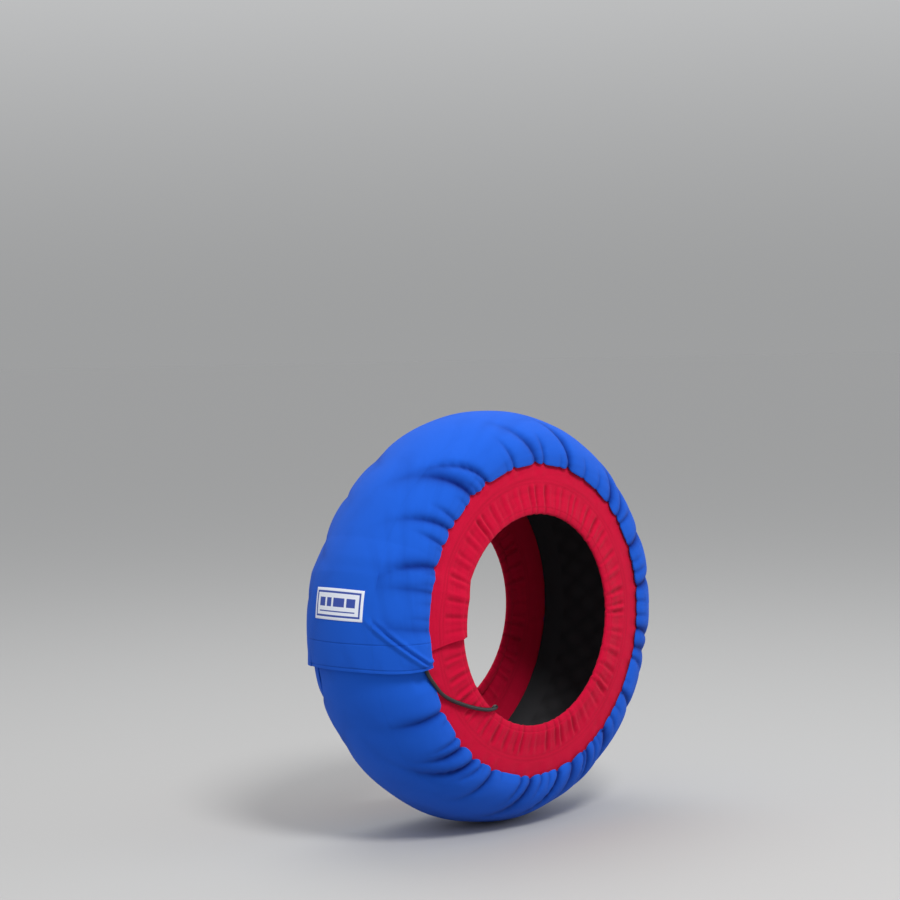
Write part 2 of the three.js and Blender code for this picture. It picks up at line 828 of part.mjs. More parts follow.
plugGeometry.translate(0, 0, plugBevel);
const plugMesh = addMesh('plug_body', plugGeometry, materials.cable);
const plugBase = -floorDrop + fit;
const coilTurnRadius = coilMidRadius + cordDiameter;
plugMesh.rotation.z = Math.PI;
plugMesh.position.set(coilX - plugStart, coilY + coilTurnRadius, plugBase);

// Three flat pins stand up from the plug's face
const plugMiddle = coilX - plugStart - plugShoulder - plugLength / 2;
const pinRow = plugMiddle + pinSpacing / 2;
const pinBase = plugBase + plugHeight + fit;

function addPin(name, x, y, sizeX, sizeY, length) {
  const pin = addMesh(name, new THREE.BoxGeometry(sizeX, sizeY, length), materials.metal);
  pin.position.set(x, y, pinBase + length / 2);
}

const plugLine = coilY + coilTurnRadius;
addPin('earth_pin', plugMiddle - pinSpacing / 2, plugLine, earthPinWidth, pinThickness, earthPinLength);
addPin('live_pin', pinRow, plugLine - pinSpacing / 2, pinThickness, pinWidth, pinLength);
addPin('neutral_pin', pinRow, plugLine + pinSpacing / 2, pinThickness, pinWidth, pinLength);

export default cover;
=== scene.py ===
import math

import bpy
import numpy as np
from mathutils import Matrix, Vector


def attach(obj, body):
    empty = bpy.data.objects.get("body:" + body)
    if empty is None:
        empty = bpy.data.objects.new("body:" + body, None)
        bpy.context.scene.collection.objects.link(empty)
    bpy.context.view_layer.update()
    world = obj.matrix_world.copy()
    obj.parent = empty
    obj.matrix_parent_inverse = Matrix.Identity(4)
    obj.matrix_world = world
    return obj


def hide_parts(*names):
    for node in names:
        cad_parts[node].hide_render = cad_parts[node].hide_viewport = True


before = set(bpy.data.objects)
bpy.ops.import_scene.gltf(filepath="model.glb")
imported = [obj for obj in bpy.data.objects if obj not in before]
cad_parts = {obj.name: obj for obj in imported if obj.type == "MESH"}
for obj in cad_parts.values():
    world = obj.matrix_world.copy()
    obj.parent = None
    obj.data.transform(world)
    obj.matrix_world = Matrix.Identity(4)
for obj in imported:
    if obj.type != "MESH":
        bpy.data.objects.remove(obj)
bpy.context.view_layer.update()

# Camera
# The camera stands about four metres off, a little above the cover, and looks at its near side
# from its left front quarter.
CAMERA_PLACE = Vector((-2.876, -2.733, 0.477))
CAMERA_HEADING = math.radians(-45.68)
CAMERA_DOWN = math.radians(2.91)
CAMERA_ROLL = math.radians(-1.15)
CAMERA_LENS = 96.0

camera_back = Vector((
    math.sin(CAMERA_HEADING) * math.cos(CAMERA_DOWN),
    -math.cos(CAMERA_HEADING) * math.cos(CAMERA_DOWN),
    math.sin(CAMERA_DOWN),
))
level_right = Vector((math.cos(CAMERA_HEADING), math.sin(CAMERA_HEADING), 0.0))
level_up = camera_back.cross(level_right)
camera_right = level_right * math.cos(CAMERA_ROLL) + level_up * math.sin(CAMERA_ROLL)
camera_up = level_up * math.cos(CAMERA_ROLL) - level_right * math.sin(CAMERA_ROLL)
camera_data = bpy.data.cameras.new("camera")
camera_data.lens = CAMERA_LENS
camera_data.sensor_width = 36.0
camera_data.clip_end = 60.0
camera = bpy.data.objects.new("camera", camera_data)
camera_turn = Matrix((camera_right, camera_up, camera_back)).transposed().to_4x4()
camera.matrix_world = Matrix.Translation(CAMERA_PLACE) @ camera_turn
bpy.context.scene.collection.objects.link(camera)
bpy.context.scene.camera = camera

# Power lead
# A round black rubber lead of two cores and earth. It leaves the cover under the near corner of
# the flap, crosses the side cuff, hangs through the cover's opening and runs to a tied coil.
MM = 0.001
CORD_DIAMETER = 6.5
FLOOR = -342.0
BOOT_ANGLE = 188.0
BOOT_SEAT_RADIUS = 263.0
BOOT_FACE = 115.6
BOOT_LENGTH = 22.0
BOOT_RADIUS = 3.9
FIT = 0.3

CUFF_ROUTE = [
    (193.6, 262.0, -116.9),
    (197.5, 255.5, -118.6),
    (202.0, 246.0, -117.4),
    (207.0, 231.5, -116.6),
    (212.5, 215.0, -118.6),
    (218.0, 200.5, -119.7),
    (223.0, 188.5, -120.8),
    (227.0, 179.0, -121.6),
    (230.0, 170.5, -119.8),
    (232.5, 164.5, -114.0),
    (234.5, 161.5, -105.0),
]
BORE_ROUTE = [
    (-88, -92, -141),
    (-78, -70, -160),
    (-62, -38, -180),
    (-40, 0, -193),
    (-14, 38, -194),
    (10, 70, -181),
    (27, 93, -164),
]
FLOOR_ROUTE = [
    (38, 108, -155),
    (45, 118, -158),
    (51, 123.5, -168),
    (55, 125, -185),
    (59, 125, -210),
    (62, 125.2, -240),
    (64, 125.5, -270),
    (65, 126, -298),
    (67, 127, -317),
    (74, 129, -331.5),
    (88, 133.4, -338),
    (110, 141, -338.6),
    (133, 149.3, -338.6),
    (156.2, 157.5, -338.6),
]
COIL_CENTRE = (163.0, 205.0)
COIL_OUTER_TURN = 42.5
COIL_INNER_TURN = 29.5
COIL_START = math.radians(-70)
COIL_FLAT_SWEEP = math.radians(720)
COIL_CLIMB_SWEEP = math.radians(100)
COIL_TOP_SWEEP = math.radians(780)
COIL_STEP = math.radians(15)
COIL_RISE = 2.0
COIL_RISE_SWEEP = math.radians(60)
PLUG_START = 27.2
CORD_IN_PLUG = 9.0
PLUG_HEIGHT = 18.0


def on_ring(angle, radius, y):
    turn = math.radians(angle)
    return np.array([radius * math.cos(turn), y, radius * math.sin(turn)])


def smooth(low, high, value):
    share = np.clip((value - low) / (high - low), 0.0, 1.0)
    return share * share * (3 - 2 * share)


def centripetal(points, spacing):
    """Points of a centripetal Catmull-Rom curve through the given ones, about spacing apart."""
    ends = [2 * points[0] - points[1], 2 * points[-1] - points[-2]]
    knots = [ends[0], *points, ends[1]]
    line = []
    for p0, p1, p2, p3 in zip(knots, knots[1:], knots[2:], knots[3:]):
        t01 = max(np.linalg.norm(p1 - p0), 1e-6) ** 0.5
        t12 = max(np.linalg.norm(p2 - p1), 1e-6) ** 0.5
        t23 = max(np.linalg.norm(p3 - p2), 1e-6) ** 0.5
        m1 = (p1 - p0) / t01 - (p2 - p0) / (t01 + t12) + (p2 - p1) / t12
        m2 = (p2 - p1) / t12 - (p3 - p1) / (t12 + t23) + (p3 - p2) / t23
        steps = max(2, int(math.ceil(np.linalg.norm(p2 - p1) / spacing)))
        for step in range(steps):
            u = step / steps
            a = 2 * p1 - 2 * p2 + (m1 + m2) * t12
            b = -3 * p1 + 3 * p2 - (2 * m1 + m2) * t12
            line.append(((a * u + b) * u + m1 * t12) * u + p1)
    line.append(points[-1])
    return line


def coil_point(turn):
    """Centre of the lead after it has gone that far round the coil, in radians."""
    if turn < COIL_FLAT_SWEEP:
        radius = COIL_OUTER_TURN - CORD_DIAMETER * turn / (2 * math.pi)
        rise = 0.0
    elif turn < COIL_FLAT_SWEEP + COIL_CLIMB_SWEEP:
        radius = COIL_INNER_TURN
        rise = float(smooth(0.0, 1.0, (turn - COIL_FLAT_SWEEP) / COIL_CLIMB_SWEEP)) * CORD_DIAMETER
    else:
        share = (turn - COIL_FLAT_SWEEP - COIL_CLIMB_SWEEP) / COIL_TOP_SWEEP
        radius = COIL_INNER_TURN + (COIL_OUTER_TURN - COIL_INNER_TURN) * share
        rise = CORD_DIAMETER
    rise += COIL_RISE * float(smooth(0.0, COIL_RISE_SWEEP, turn))
    angle = COIL_START + turn
    return np.array([
        COIL_CENTRE[0] + radius * math.cos(angle),
        COIL_CENTRE[1] + radius * math.sin(angle),
        FLOOR_ROUTE[-1][2] + rise,
    ])


boot_way = on_ring(BOOT_ANGLE + 90, 1.0, 0.0)
boot_centre = on_ring(BOOT_ANGLE, BOOT_SEAT_RADIUS, -BOOT_FACE)
boot_nose = boot_centre + boot_way * (BOOT_LENGTH / 2 + FIT)
route = [boot_nose, boot_nose + boot_way * BOOT_RADIUS]
route += [on_ring(*point) for point in CUFF_ROUTE]
route += [np.array(point, float) for point in BORE_ROUTE + FLOOR_ROUTE]
coil_sweep = COIL_FLAT_SWEEP + COIL_CLIMB_SWEEP + COIL_TOP_SWEEP
coil_count = int(round(coil_sweep / COIL_STEP))
route += [coil_point(coil_sweep * step / coil_count) for step in range(coil_count + 1)]
plug_middle = FLOOR + FIT + PLUG_HEIGHT / 2
plug_mouth = np.array([route[-1][0] - PLUG_START, route[-1][1], plug_middle])
route.append(plug_mouth)
route.append(plug_mouth - np.array([CORD_IN_PLUG, 0.0, 0.0]))
cord_line = [point * MM for point in centripetal(route, 3.0)]


def new_material(name, color, roughness):
    """A material with one shader whose colour and roughness are set on its own sockets."""
    material = bpy.data.materials.new(name)
    material.use_nodes = True
    shader = material.node_tree.nodes["Principled BSDF"]
    shader.inputs["Base Color"].default_value = (*color, 1.0)
    shader.inputs["Roughness"].default_value = roughness
    return material, material.node_tree, shader


def add_node(tree, kind, **values):
    node = tree.nodes.new(kind)
    for name, value in values.items():
        if hasattr(node, name):
            setattr(node, name, value)
        else:
            node.inputs[name.replace("_", " ").title()].default_value = value
    return node


def add_bump(tree, shader, height, strength, distance):
    bump = tree.nodes.new("ShaderNodeBump")
    bump.inputs["Strength"].default_value = strength
    bump.inputs["Distance"].default_value = distance
    tree.links.new(height, bump.inputs["Height"])
    tree.links.new(bump.outputs["Normal"], shader.inputs["Normal"])
    return bump


def rubber_material(name, color, roughness, grain):
    """Black rubber or moulded plastic with a fine grain and slightly uneven gloss."""
    material, tree, shader = new_material(name, color, roughness)
    place = tree.nodes.new("ShaderNodeTexCoord")
    noise = add_node(tree, "ShaderNodeTexNoise", Scale=grain, Detail=4.0)
    tree.links.new(place.outputs["Object"], noise.inputs["Vector"])
    spread = tree.nodes.new("ShaderNodeMapRange")
    spread.inputs["To Min"].default_value = roughness - 0.08
    spread.inputs["To Max"].default_value = roughness + 0.1
    tree.links.new(noise.outputs["Fac"], spread.inputs["Value"])
    tree.links.new(spread.outputs["Result"], shader.inputs["Roughness"])
    add_bump(tree, shader, noise.outputs["Fac"], 0.15, 0.0002)
    return material


cable_rubber = rubber_material("cable_rubber", (0.012, 0.012, 0.014), 0.42, 900.0)

cord_curve = bpy.data.curves.new("power_lead", "CURVE")
cord_curve.dimensions = "3D"
cord_curve.bevel_depth = CORD_DIAMETER / 2 * MM
cord_curve.bevel_resolution = 3
spline = cord_curve.splines.new("POLY")
spline.points.add(len(cord_line) - 1)
for point, place in zip(spline.points, cord_line):
    point.co = (*place, 1.0)
power_lead = bpy.data.objects.new("power_lead", cord_curve)
bpy.context.scene.collection.objects.link(power_lead)
cord_curve.materials.append(cable_rubber)
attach(power_lead, "root")
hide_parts("power_cord", "cord_coil")

# Boot of the lead
# A tapered rubber sleeve moulded onto the lead, with ribs that let it bend where it leaves the
# seam under the flap.
BOOT_RIBS = 5
BOOT_SIDES = 20


def add_piece(name, points, faces, material, smooth_faces=True):
    """A mesh object from points in millimetres, which rides on the cover."""
    mesh = bpy.data.meshes.new(name)
    mesh.from_pydata([tuple(float(v) * MM for v in p) for p in points], [], faces)
    mesh.update()
    if smooth_faces:
        mesh.polygons.foreach_set("use_smooth", [True] * len(mesh.polygons))
    mesh.materials.append(material)
    piece = bpy.data.objects.new(name, mesh)
    bpy.context.scene.collection.objects.link(piece)
    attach(piece, "root")
    return piece


def turned(profile, start, way, sides):
    """Points and faces of a solid of revolution: profile is (distance along way, radius)."""
    way = way / np.linalg.norm(way)
    side = np.cross(way, [0.0, 1.0, 0.0])
    side /= np.linalg.norm(side)
    up = np.cross(way, side)
    points = []
    for along, radius in profile:
        for step in range(sides):
            turn = 2 * math.pi * step / sides
            spoke = side * math.cos(turn) + up * math.sin(turn)
            points.append(start + way * along + spoke * radius)
    faces = []
    for row in range(len(profile) - 1):
        for step in range(sides):
            a = row * sides + step
            b = row * sides + (step + 1) % sides
            faces.append((a, a + sides, b + sides, b))
    first = tuple(range(sides))
    last = tuple(reversed(range((len(profile) - 1) * sides, len(profile) * sides)))
    return points, [first, *faces, last]


boot_profile = [(0.0, BOOT_RADIUS * 0.8), (0.8, BOOT_RADIUS)]
for rib in range(BOOT_RIBS):
    rib_start = 4.0 + rib * 3.2
    rib_radius = BOOT_RADIUS - 0.09 * rib
    boot_profile += [
        (rib_start, rib_radius),
        (rib_start + 0.4, rib_radius - 0.45),
        (rib_start + 1.2, rib_radius - 0.45),
        (rib_start + 1.6, rib_radius - 0.05),
    ]
boot_profile += [(BOOT_LENGTH - 0.6, BOOT_RADIUS - 0.4), (BOOT_LENGTH, BOOT_RADIUS - 0.65)]
boot_tail = boot_centre - boot_way * BOOT_LENGTH / 2
boot_points, boot_faces = turned(boot_profile, boot_tail, boot_way, BOOT_SIDES)
lead_sleeve = add_piece("lead_sleeve", boot_points, boot_faces, cable_rubber)
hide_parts("lead_boot")

# Cord tie
# A strip of hook and loop tape with a dull pile. It is wrapped once round the turns of the coil,
# pulled tight and pressed shut.
TIE_HALF = 11.6
TIE_HEIGHT = 16.6
TIE_WIDTH = 12.0
TIE_THICKNESS = 1.3
TIE_CORNER = 5.0


def rounded_loop(half, low, high, corner, steps):
    """Points round a rectangle with round corners, in its own plane."""
    loop = []
    corners = [
        (half - corner, low + corner, -90),
        (half - corner, high - corner, 0),
        (-half + corner, high - corner, 90),
        (-half + corner, low + corner, 180),
    ]
    for x, z, start in corners:
        for step in range(steps + 1):
            turn = math.radians(start + 90 * step / steps)
            loop.append((x + corner * math.cos(turn), z + corner * math.sin(turn)))
    return loop


def tape_material(name, color):
    """Hook and loop tape: dense short pile that is dull from every side."""
    material, tree, shader = new_material(name, color, 0.95)
    place = tree.nodes.new("ShaderNodeTexCoord")
    pile = add_node(tree, "ShaderNodeTexVoronoi", Scale=1400.0)
    tree.links.new(place.outputs["Object"], pile.inputs["Vector"])
    add_bump(tree, shader, pile.outputs["Distance"], 0.6, 0.0006)
    shader.inputs["Sheen Weight"].default_value = 0.3
    return material


closing_tape = tape_material("closing_tape", (0.014, 0.014, 0.017))
tie_x = COIL_CENTRE[0] + (COIL_OUTER_TURN + COIL_INNER_TURN) / 2
tie_outer = rounded_loop(TIE_HALF, FIT, FIT + TIE_HEIGHT, TIE_CORNER, 5)
tie_inner = rounded_loop(
    TIE_HALF - TIE_THICKNESS, FIT + TIE_THICKNESS, FIT + TIE_HEIGHT - TIE_THICKNESS,
    TIE_CORNER - TIE_THICKNESS, 5,
)
tie_points = []
for y in (-TIE_WIDTH / 2, TIE_WIDTH / 2):
    for loop in (tie_outer, tie_inner):
        tie_points += [(tie_x + x, COIL_CENTRE[1] + y, FLOOR + z) for x, z in loop]
tie_count = len(tie_outer)
tie_faces = []
for k in range(tie_count):
    n = (k + 1) % tie_count
    rings = [offset * tie_count for offset in range(4)]
    near_out, near_in, far_out, far_in = [(start + k, start + n) for start in rings]
    tie_faces.append((near_out[0], near_out[1], far_out[1], far_out[0]))
    tie_faces.append((near_in[1], near_in[0], far_in[0], far_in[1]))
    tie_faces.append((near_out[1], near_out[0], near_in[0], near_in[1]))
    tie_faces.append((far_out[0], far_out[1], far_in[1], far_in[0]))
coil_tie = add_piece("coil_tie", tie_points, tie_faces, closing_tape, False)
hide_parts("cord_tie")

# Plug and its pins
# A moulded mains plug with three flat pins, lying on its back at the end of the lead. The CAD
# pieces keep their shape and get a moulded black finish and plated brass.
plug_plastic = rubber_material("plug_plastic", (0.018, 0.018, 0.02), 0.5, 1500.0)


def pin_material():
    material, tree, shader = new_material("pin_brass", (0.62, 0.47, 0.2), 0.28)
    shader.inputs["Metallic"].default_value = 1.0
    place = tree.nodes.new("ShaderNodeTexCoord")
    scratch = add_node(tree, "ShaderNodeTexNoise", Scale=600.0, Detail=3.0)
    tree.links.new(place.outputs["Object"], scratch.inputs["Vector"])
    add_bump(tree, shader, scratch.outputs["Fac"], 0.1, 0.0001)
    return material


def dress_node(name, material):
    """Gives a carried-over CAD piece its finish."""
    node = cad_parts[name]
    node.data.materials.clear()
    node.data.materials.append(material)
    return node


pin_brass = pin_material()
plug_node = dress_node("plug_body", plug_plastic)
plug_edge = plug_node.modifiers.new("soft_edges", "BEVEL")
plug_edge.width = 1.2 * MM
plug_edge.segments = 3
plug_edge.limit_method = "ANGLE"
plug_pieces = [plug_node] + [
    dress_node(name, pin_brass) for name in ("earth_pin", "live_pin", "neutral_pin")
]

# Inner lining
# Smooth dark heat-resistant cloth, the layer that touches what is warmed. It is quilted to the
# heater mat behind it, so it dimples along the stitched lines.
SEAT_RADIUS = 328.0
WIDEST_RADIUS = 259.0
SEAT_HALF_WIDTH = 103.0
LINING_OUT = 1.2
START_ANGLE = 163.0
END_ANGLE = 551.0
LINING_COLUMNS = 300
LINING_ROWS = 60
QUILT_PITCH = 22.0


def section_point(station, offset):
    """Radius and Y on the cover's section: station 0 is its middle, 90 its widest point."""
    turn = np.radians(station)
    radius = WIDEST_RADIUS + (SEAT_RADIUS - WIDEST_RADIUS + offset) * np.cos(turn)
    y = (SEAT_HALF_WIDTH + offset) * np.sin(turn)
    return radius, y


def sharpen_border(piece, rim, lift):
    """Keeps a cloth's faces from being shaded together with its cut edges."""
    mesh = piece.data
    ends = np.empty(len(mesh.edges) * 2, dtype=np.int64)
    mesh.edges.foreach_get("vertices", ends)
    ends = ends.reshape(-1, 2)
    sharp = np.isin(ends, rim).all(axis=1) | np.isin(ends, rim + lift).all(axis=1)
    border = mesh.attributes.new("sharp_edge", "BOOLEAN", "EDGE")
    border.data.foreach_set("value", sharp)


def mark_cloth(piece, flat, painted_crease_shade):
    """Keeps each point's place on the flat cloth, and how much painted shade it gets for lying
    deep in a crease, pleat or stitch line.
    """
    cloth = piece.data.attributes.new("cloth", "FLOAT_VECTOR", "POINT")
    cloth.data.foreach_set("vector", (flat * MM).astype(np.float32).ravel())
    shade = piece.data.attributes.new("crease", "FLOAT", "POINT")
    shade.data.foreach_set("value", painted_crease_shade.astype(np.float32))


def cloth_shell(name, outer, inner, flat, crease, outward, material):
    """One closed mesh from a cloth's outer and inner faces, each a grid of points.

    outward points out of the outer face at its first corner.
    """
    columns, rows = outer.shape[:2]
    points = np.concatenate([outer.reshape(-1, 3), inner.reshape(-1, 3)])
    index = np.arange(columns * rows).reshape(columns, rows)
    lift = columns * rows
    a, b = index[:-1, :-1], index[1:, :-1]
    c, d = index[1:, 1:], index[:-1, 1:]
    front = np.stack([a, b, c, d], axis=-1).reshape(-1, 4)
    back = np.stack([a, d, c, b], axis=-1).reshape(-1, 4) + lift
    rim = np.concatenate([index[:, 0], index[-1, 1:], index[-2::-1, -1], index[0, -2:0:-1]])
    rim_next = np.roll(rim, -1)
    edge = np.stack([rim, rim + lift, rim_next + lift, rim_next], axis=-1)
    faces = np.concatenate([front, back, edge])
    corners = points[faces[0]]
    first = np.cross(corners[1] - corners[0], corners[2] - corners[0])
    if np.dot(first, outward) < 0:
        faces = faces[:, ::-1]
    piece = add_piece(name, points, faces.tolist(), material)
    sharpen_border(piece, rim, lift)
    mark_cloth(piece, np.tile(flat.reshape(-1, 3), (2, 1)), np.tile(crease.reshape(-1), 2))
    return piece


def cloth_grid(name, angles, radius, y, thickness, material, crease=None):
    """A strip of cloth wound round the axle. radius and y are grids of its outer face."""
    turn = np.radians(angles if np.ndim(angles) == 2 else angles[:, None])
    outer = np.stack([radius * np.cos(turn), y, radius * np.sin(turn)], axis=-1)
    along = np.gradient(outer, axis=0)
    across = np.gradient(outer, axis=1)
    normal = np.cross(along, across)
    normal /= np.maximum(np.linalg.norm(normal, axis=-1, keepdims=True), 1e-9)
    axis_away = np.stack([np.cos(turn) + 0 * y, 0 * y, np.sin(turn) + 0 * y], axis=-1)
    middle = normal.shape[1] // 2
    facing = np.sum(normal[:, middle] * axis_away[:, middle]) + 0.01 * np.sum(normal[..., 1] * y)
    if facing < 0:
        normal = -normal
    flat_u = np.cumsum(np.linalg.norm(along, axis=-1), axis=0)
    flat_v = np.cumsum(np.linalg.norm(across, axis=-1), axis=1)
    flat = np.stack([flat_u, flat_v, 0 * flat_u], axis=-1)
    painted_crease_shade = 0 * flat_u if crease is None else crease
    inner = outer - normal * thickness
    return cloth_shell(name, outer, inner, flat, painted_crease_shade, normal[0, 0], material)


FUZZ_SCALE = 520.0
BLOTCH_SCALE = 14.0
BLOTCH_SHARE = 0.5
THREAD_SHARE = 0.35
THREAD_HEIGHT = 0.0005
CLOTH_SHEEN = 0.04
CLOTH_GLOSS = 0.1


def canvas_material(name, color, mottle_and_shade_color, thread, roughness=0.9, weave=0.35):
    """Plain woven cloth: crossing threads, a mottled dye and a soft fuzz, with painted shade in
    its creases.
    """
    material, tree, shader = new_material(name, color, roughness)
    place = add_node(tree, "ShaderNodeAttribute", attribute_name="cloth")
    split = tree.nodes.new("ShaderNodeSeparateXYZ")
    tree.links.new(place.outputs["Vector"], split.inputs["Vector"])
    waves = []
    for axis in ("X", "Y"):
        scaled = add_node(tree, "ShaderNodeMath", operation="MULTIPLY")
        scaled.inputs[1].default_value = 2 * math.pi / (thread * MM)
        tree.links.new(split.outputs[axis], scaled.inputs[0])
        wave = add_node(tree, "ShaderNodeMath", operation="SINE")
        tree.links.new(scaled.outputs["Value"], wave.inputs[0])
        waves.append(wave)
    crossed = add_node(tree, "ShaderNodeMath", operation="MULTIPLY")
    tree.links.new(waves[0].outputs["Value"], crossed.inputs[0])
    tree.links.new(waves[1].outputs["Value"], crossed.inputs[1])
    fuzz = add_node(tree, "ShaderNodeTexNoise", Scale=FUZZ_SCALE, Detail=5.0)
    tree.links.new(place.outputs["Vector"], fuzz.inputs["Vector"])
    blotch = add_node(tree, "ShaderNodeTexNoise", Scale=BLOTCH_SCALE, Detail=4.0)
    tree.links.new(place.outputs["Vector"], blotch.inputs["Vector"])
    height = add_node(tree, "ShaderNodeMath", operation="MULTIPLY_ADD")
    height.inputs[1].default_value = THREAD_SHARE
    tree.links.new(crossed.outputs["Value"], height.inputs[0])
    tree.links.new(fuzz.outputs["Fac"], height.inputs[2])
    add_bump(tree, shader, height.outputs["Value"], weave, THREAD_HEIGHT)
    # Painted shade: the crease attribute darkens the cloth in its creases, pleats and stitch
    # lines, and is added to the dye's random mottle.
    painted_crease_shade = add_node(tree, "ShaderNodeAttribute", attribute_name="crease")
    mottle = add_node(tree, "ShaderNodeMath", operation="MULTIPLY_ADD")
    mottle.inputs[1].default_value = BLOTCH_SHARE
    mottle.inputs[2].default_value = -BLOTCH_SHARE / 2
    tree.links.new(blotch.outputs["Fac"], mottle.inputs[0])
    mottle_and_painted_shade = add_node(tree, "ShaderNodeMath", operation="ADD")
    mottle_and_painted_shade.use_clamp = True
    tree.links.new(painted_crease_shade.outputs["Fac"], mottle_and_painted_shade.inputs[0])
    tree.links.new(mottle.outputs["Value"], mottle_and_painted_shade.inputs[1])
    shades = tree.nodes.new("ShaderNodeMix")
    shades.data_type = "RGBA"
    color_sockets = [socket for socket in shades.inputs if socket.type == "RGBA"]
    color_sockets[0].default_value = (*color, 1.0)
    color_sockets[1].default_value = (*mottle_and_shade_color, 1.0)
    tree.links.new(mottle_and_painted_shade.outputs["Value"], shades.inputs["Factor"])
    mixed = [socket for socket in shades.outputs if socket.type == "RGBA"][0]
    tree.links.new(mixed, shader.inputs["Base Color"])
    shader.inputs["Sheen Weight"].default_value = CLOTH_SHEEN
    shader.inputs["Sheen Roughness"].default_value = 0.5
    shader.inputs["Specular IOR Level"].default_value = CLOTH_GLOSS
    return material


# The second colour is the dye's darker mottle, and also the painted shade in the quilted dimples.
lining_cloth = canvas_material(
    "lining_cloth", (0.03, 0.031, 0.035), (0.012, 0.012, 0.014), 0.5, 0.7, 0.25
)
lining_angles = np.linspace(START_ANGLE + 0.4, START_ANGLE + 359.6, LINING_COLUMNS)
lining_stations = np.linspace(-88.0, 88.0, LINING_ROWS)
lining_theta, lining_station = np.meshgrid(lining_angles, lining_stations, indexing="ij")
lining_u = np.radians(lining_theta) * SEAT_RADIUS
lining_v = np.radians(lining_station) * 88.0
quilt = np.abs(np.sin(math.pi * (lining_u + lining_v) / QUILT_PITCH / 2))
quilt *= np.abs(np.sin(math.pi * (lining_u - lining_v) / QUILT_PITCH / 2))
quilt_depth = 0.9 * (1 - quilt) * (np.abs(lining_station) < 60)
lining_radius, lining_y = section_point(lining_station, LINING_OUT - 0.9 + quilt_depth)
# The quilted dimples get painted shade in the lining's colour as well.
inner_cloth = cloth_grid(
    "inner_cloth", lining_angles, lining_radius, lining_y, 0.9, lining_cloth,
    crease=quilt_depth * 0.6,
)
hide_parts("inner_lining")

# Heater mat, wadding and heat cut-out
# The mat of heating wire lies on the lining, a felted wadding keeps its heat in, and a small
# moulded switch breaks the circuit when it gets too hot. None of them shows from outside.
HEATER_IN = 1.5
HEATER_OUT = 3.0
WADDING_IN = 3.2
WADDING_OUT = 5.6
MAT_EDGE = 36.0
WADDING_EDGE = 46.0
LAYER_ROWS = 24


def inner_layer(name, edge_station, low, high, material, node):
    """A layer of cloth or felt that goes once round under the outer cover."""
    stations = np.linspace(-edge_station, edge_station, LAYER_ROWS)
    _, station_grid = np.meshgrid(lining_angles, stations, indexing="ij")
    radius, y = section_point(station_grid, high)
    layer = cloth_grid(name, lining_angles, radius, y, high - low, material)
    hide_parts(node)


heater_cloth = canvas_material(
    "heater_cloth", (0.42, 0.27, 0.09), (0.25, 0.15, 0.05), 1.4, 0.8, 0.5
)
wadding_felt = canvas_material(
    "wadding_felt", (0.62, 0.6, 0.54), (0.5, 0.48, 0.42), 2.5, 1.0, 0.6
)
inner_layer(
    "heating_mat", MAT_EDGE, HEATER_IN, HEATER_OUT, heater_cloth, "heater_mat"
)
inner_layer(
    "wadding_felt", WADDING_EDGE, WADDING_IN, WADDING_OUT, wadding_felt,
    "insulation_layer",
)
dress_node("heat_cutout", plug_plastic)

# Outer cover
# One long strip of blue canvas, wound into a ring so that its end, the flap, lies over its
# start. The tread panel is smooth, and the two side panels are gathered into the side cuffs.
CANVAS_THICKNESS = 1.6
CANVAS_OUT = 11.8
FLAP_RISE = 5.5
FLAP_FOLD = 1.4
RAMP_START = 513.0
RAMP_END = 523.0
SHOULDER = 36.0
PUFF_HEIGHT = 4.0
GATHER_DEPTH = 2.6
SEAM_RADIUS = 256.0
EDGE_PULL = 4.0
EDGE_PUFF = 2.4
FLAP_BULGE = 3.6
CUFF_TUCK_RADIUS = 266.0
CUFF_TUCK_FACE = 108.9
STITCH_RADIUS = 229.0
STITCH_FACE = 112.6
COVER_STEP = 0.5
SIDE_ROWS = 41
TREAD_ROWS = 30
GATHER_ANGLES = [
    7, 23, 37, 44, 71, 89, 116, 125, 141, 156, 165, 178, 208,
    225, 233, 244, 265, 280, 288, 297, 309, 326, 344, 351,
]
SMALL_CREASES = 2
LEAN = 0.062
FAR_PHASE = 6.5
HANG = 0.8
SLACK = 3.4
SLACK_ANGLE = 322.0
SLACK_SPREAD = 26.0
SHOULDER_FALL = 2.4
FALL_STATION = 42.0
FALL_SPREAD = 24.0


def make_gathers():
    """Angle, strength, length, half width and lean of each crease, main ones and small ones."""
    creases = []
    for index, centre in enumerate(GATHER_ANGLES):
        strength = 0.88 + 0.1 * math.sin(index * 1.9 + 1)
        length = 96 + 20 * math.sin(index * 3.7) + 26 * math.exp(-((centre - 138) / 26) ** 2)
        width = 1.2 + 0.25 * math.sin(index * 2.9)
        lean = LEAN * math.sin(math.radians(centre)) + 0.02 * math.sin(index * 4.3 + 0.5)
        creases.append((centre, strength, length, width, lean))
        following = GATHER_ANGLES[(index + 1) % len(GATHER_ANGLES)]
        space = (following - centre) % 360
        if space < 9:
            continue
        for part in range(1, SMALL_CREASES + 1):
            wave = math.sin(index * 2.2 + part * 2.9)
            place = centre + space * (part + 0.3 * wave) / (SMALL_CREASES + 1)
            creases.append((place, 0.4 + 0.22 * wave, 36 + 18 * wave, 0.8, lean - 0.03 * wave))
    return creases


gathers = make_gathers()


def flatness(turned_angle):
    """1 where the gathers lie free, and 0 under the flap."""
    return 1 - smooth(158, 163, turned_angle) * (1 - smooth(193, 199, turned_angle))


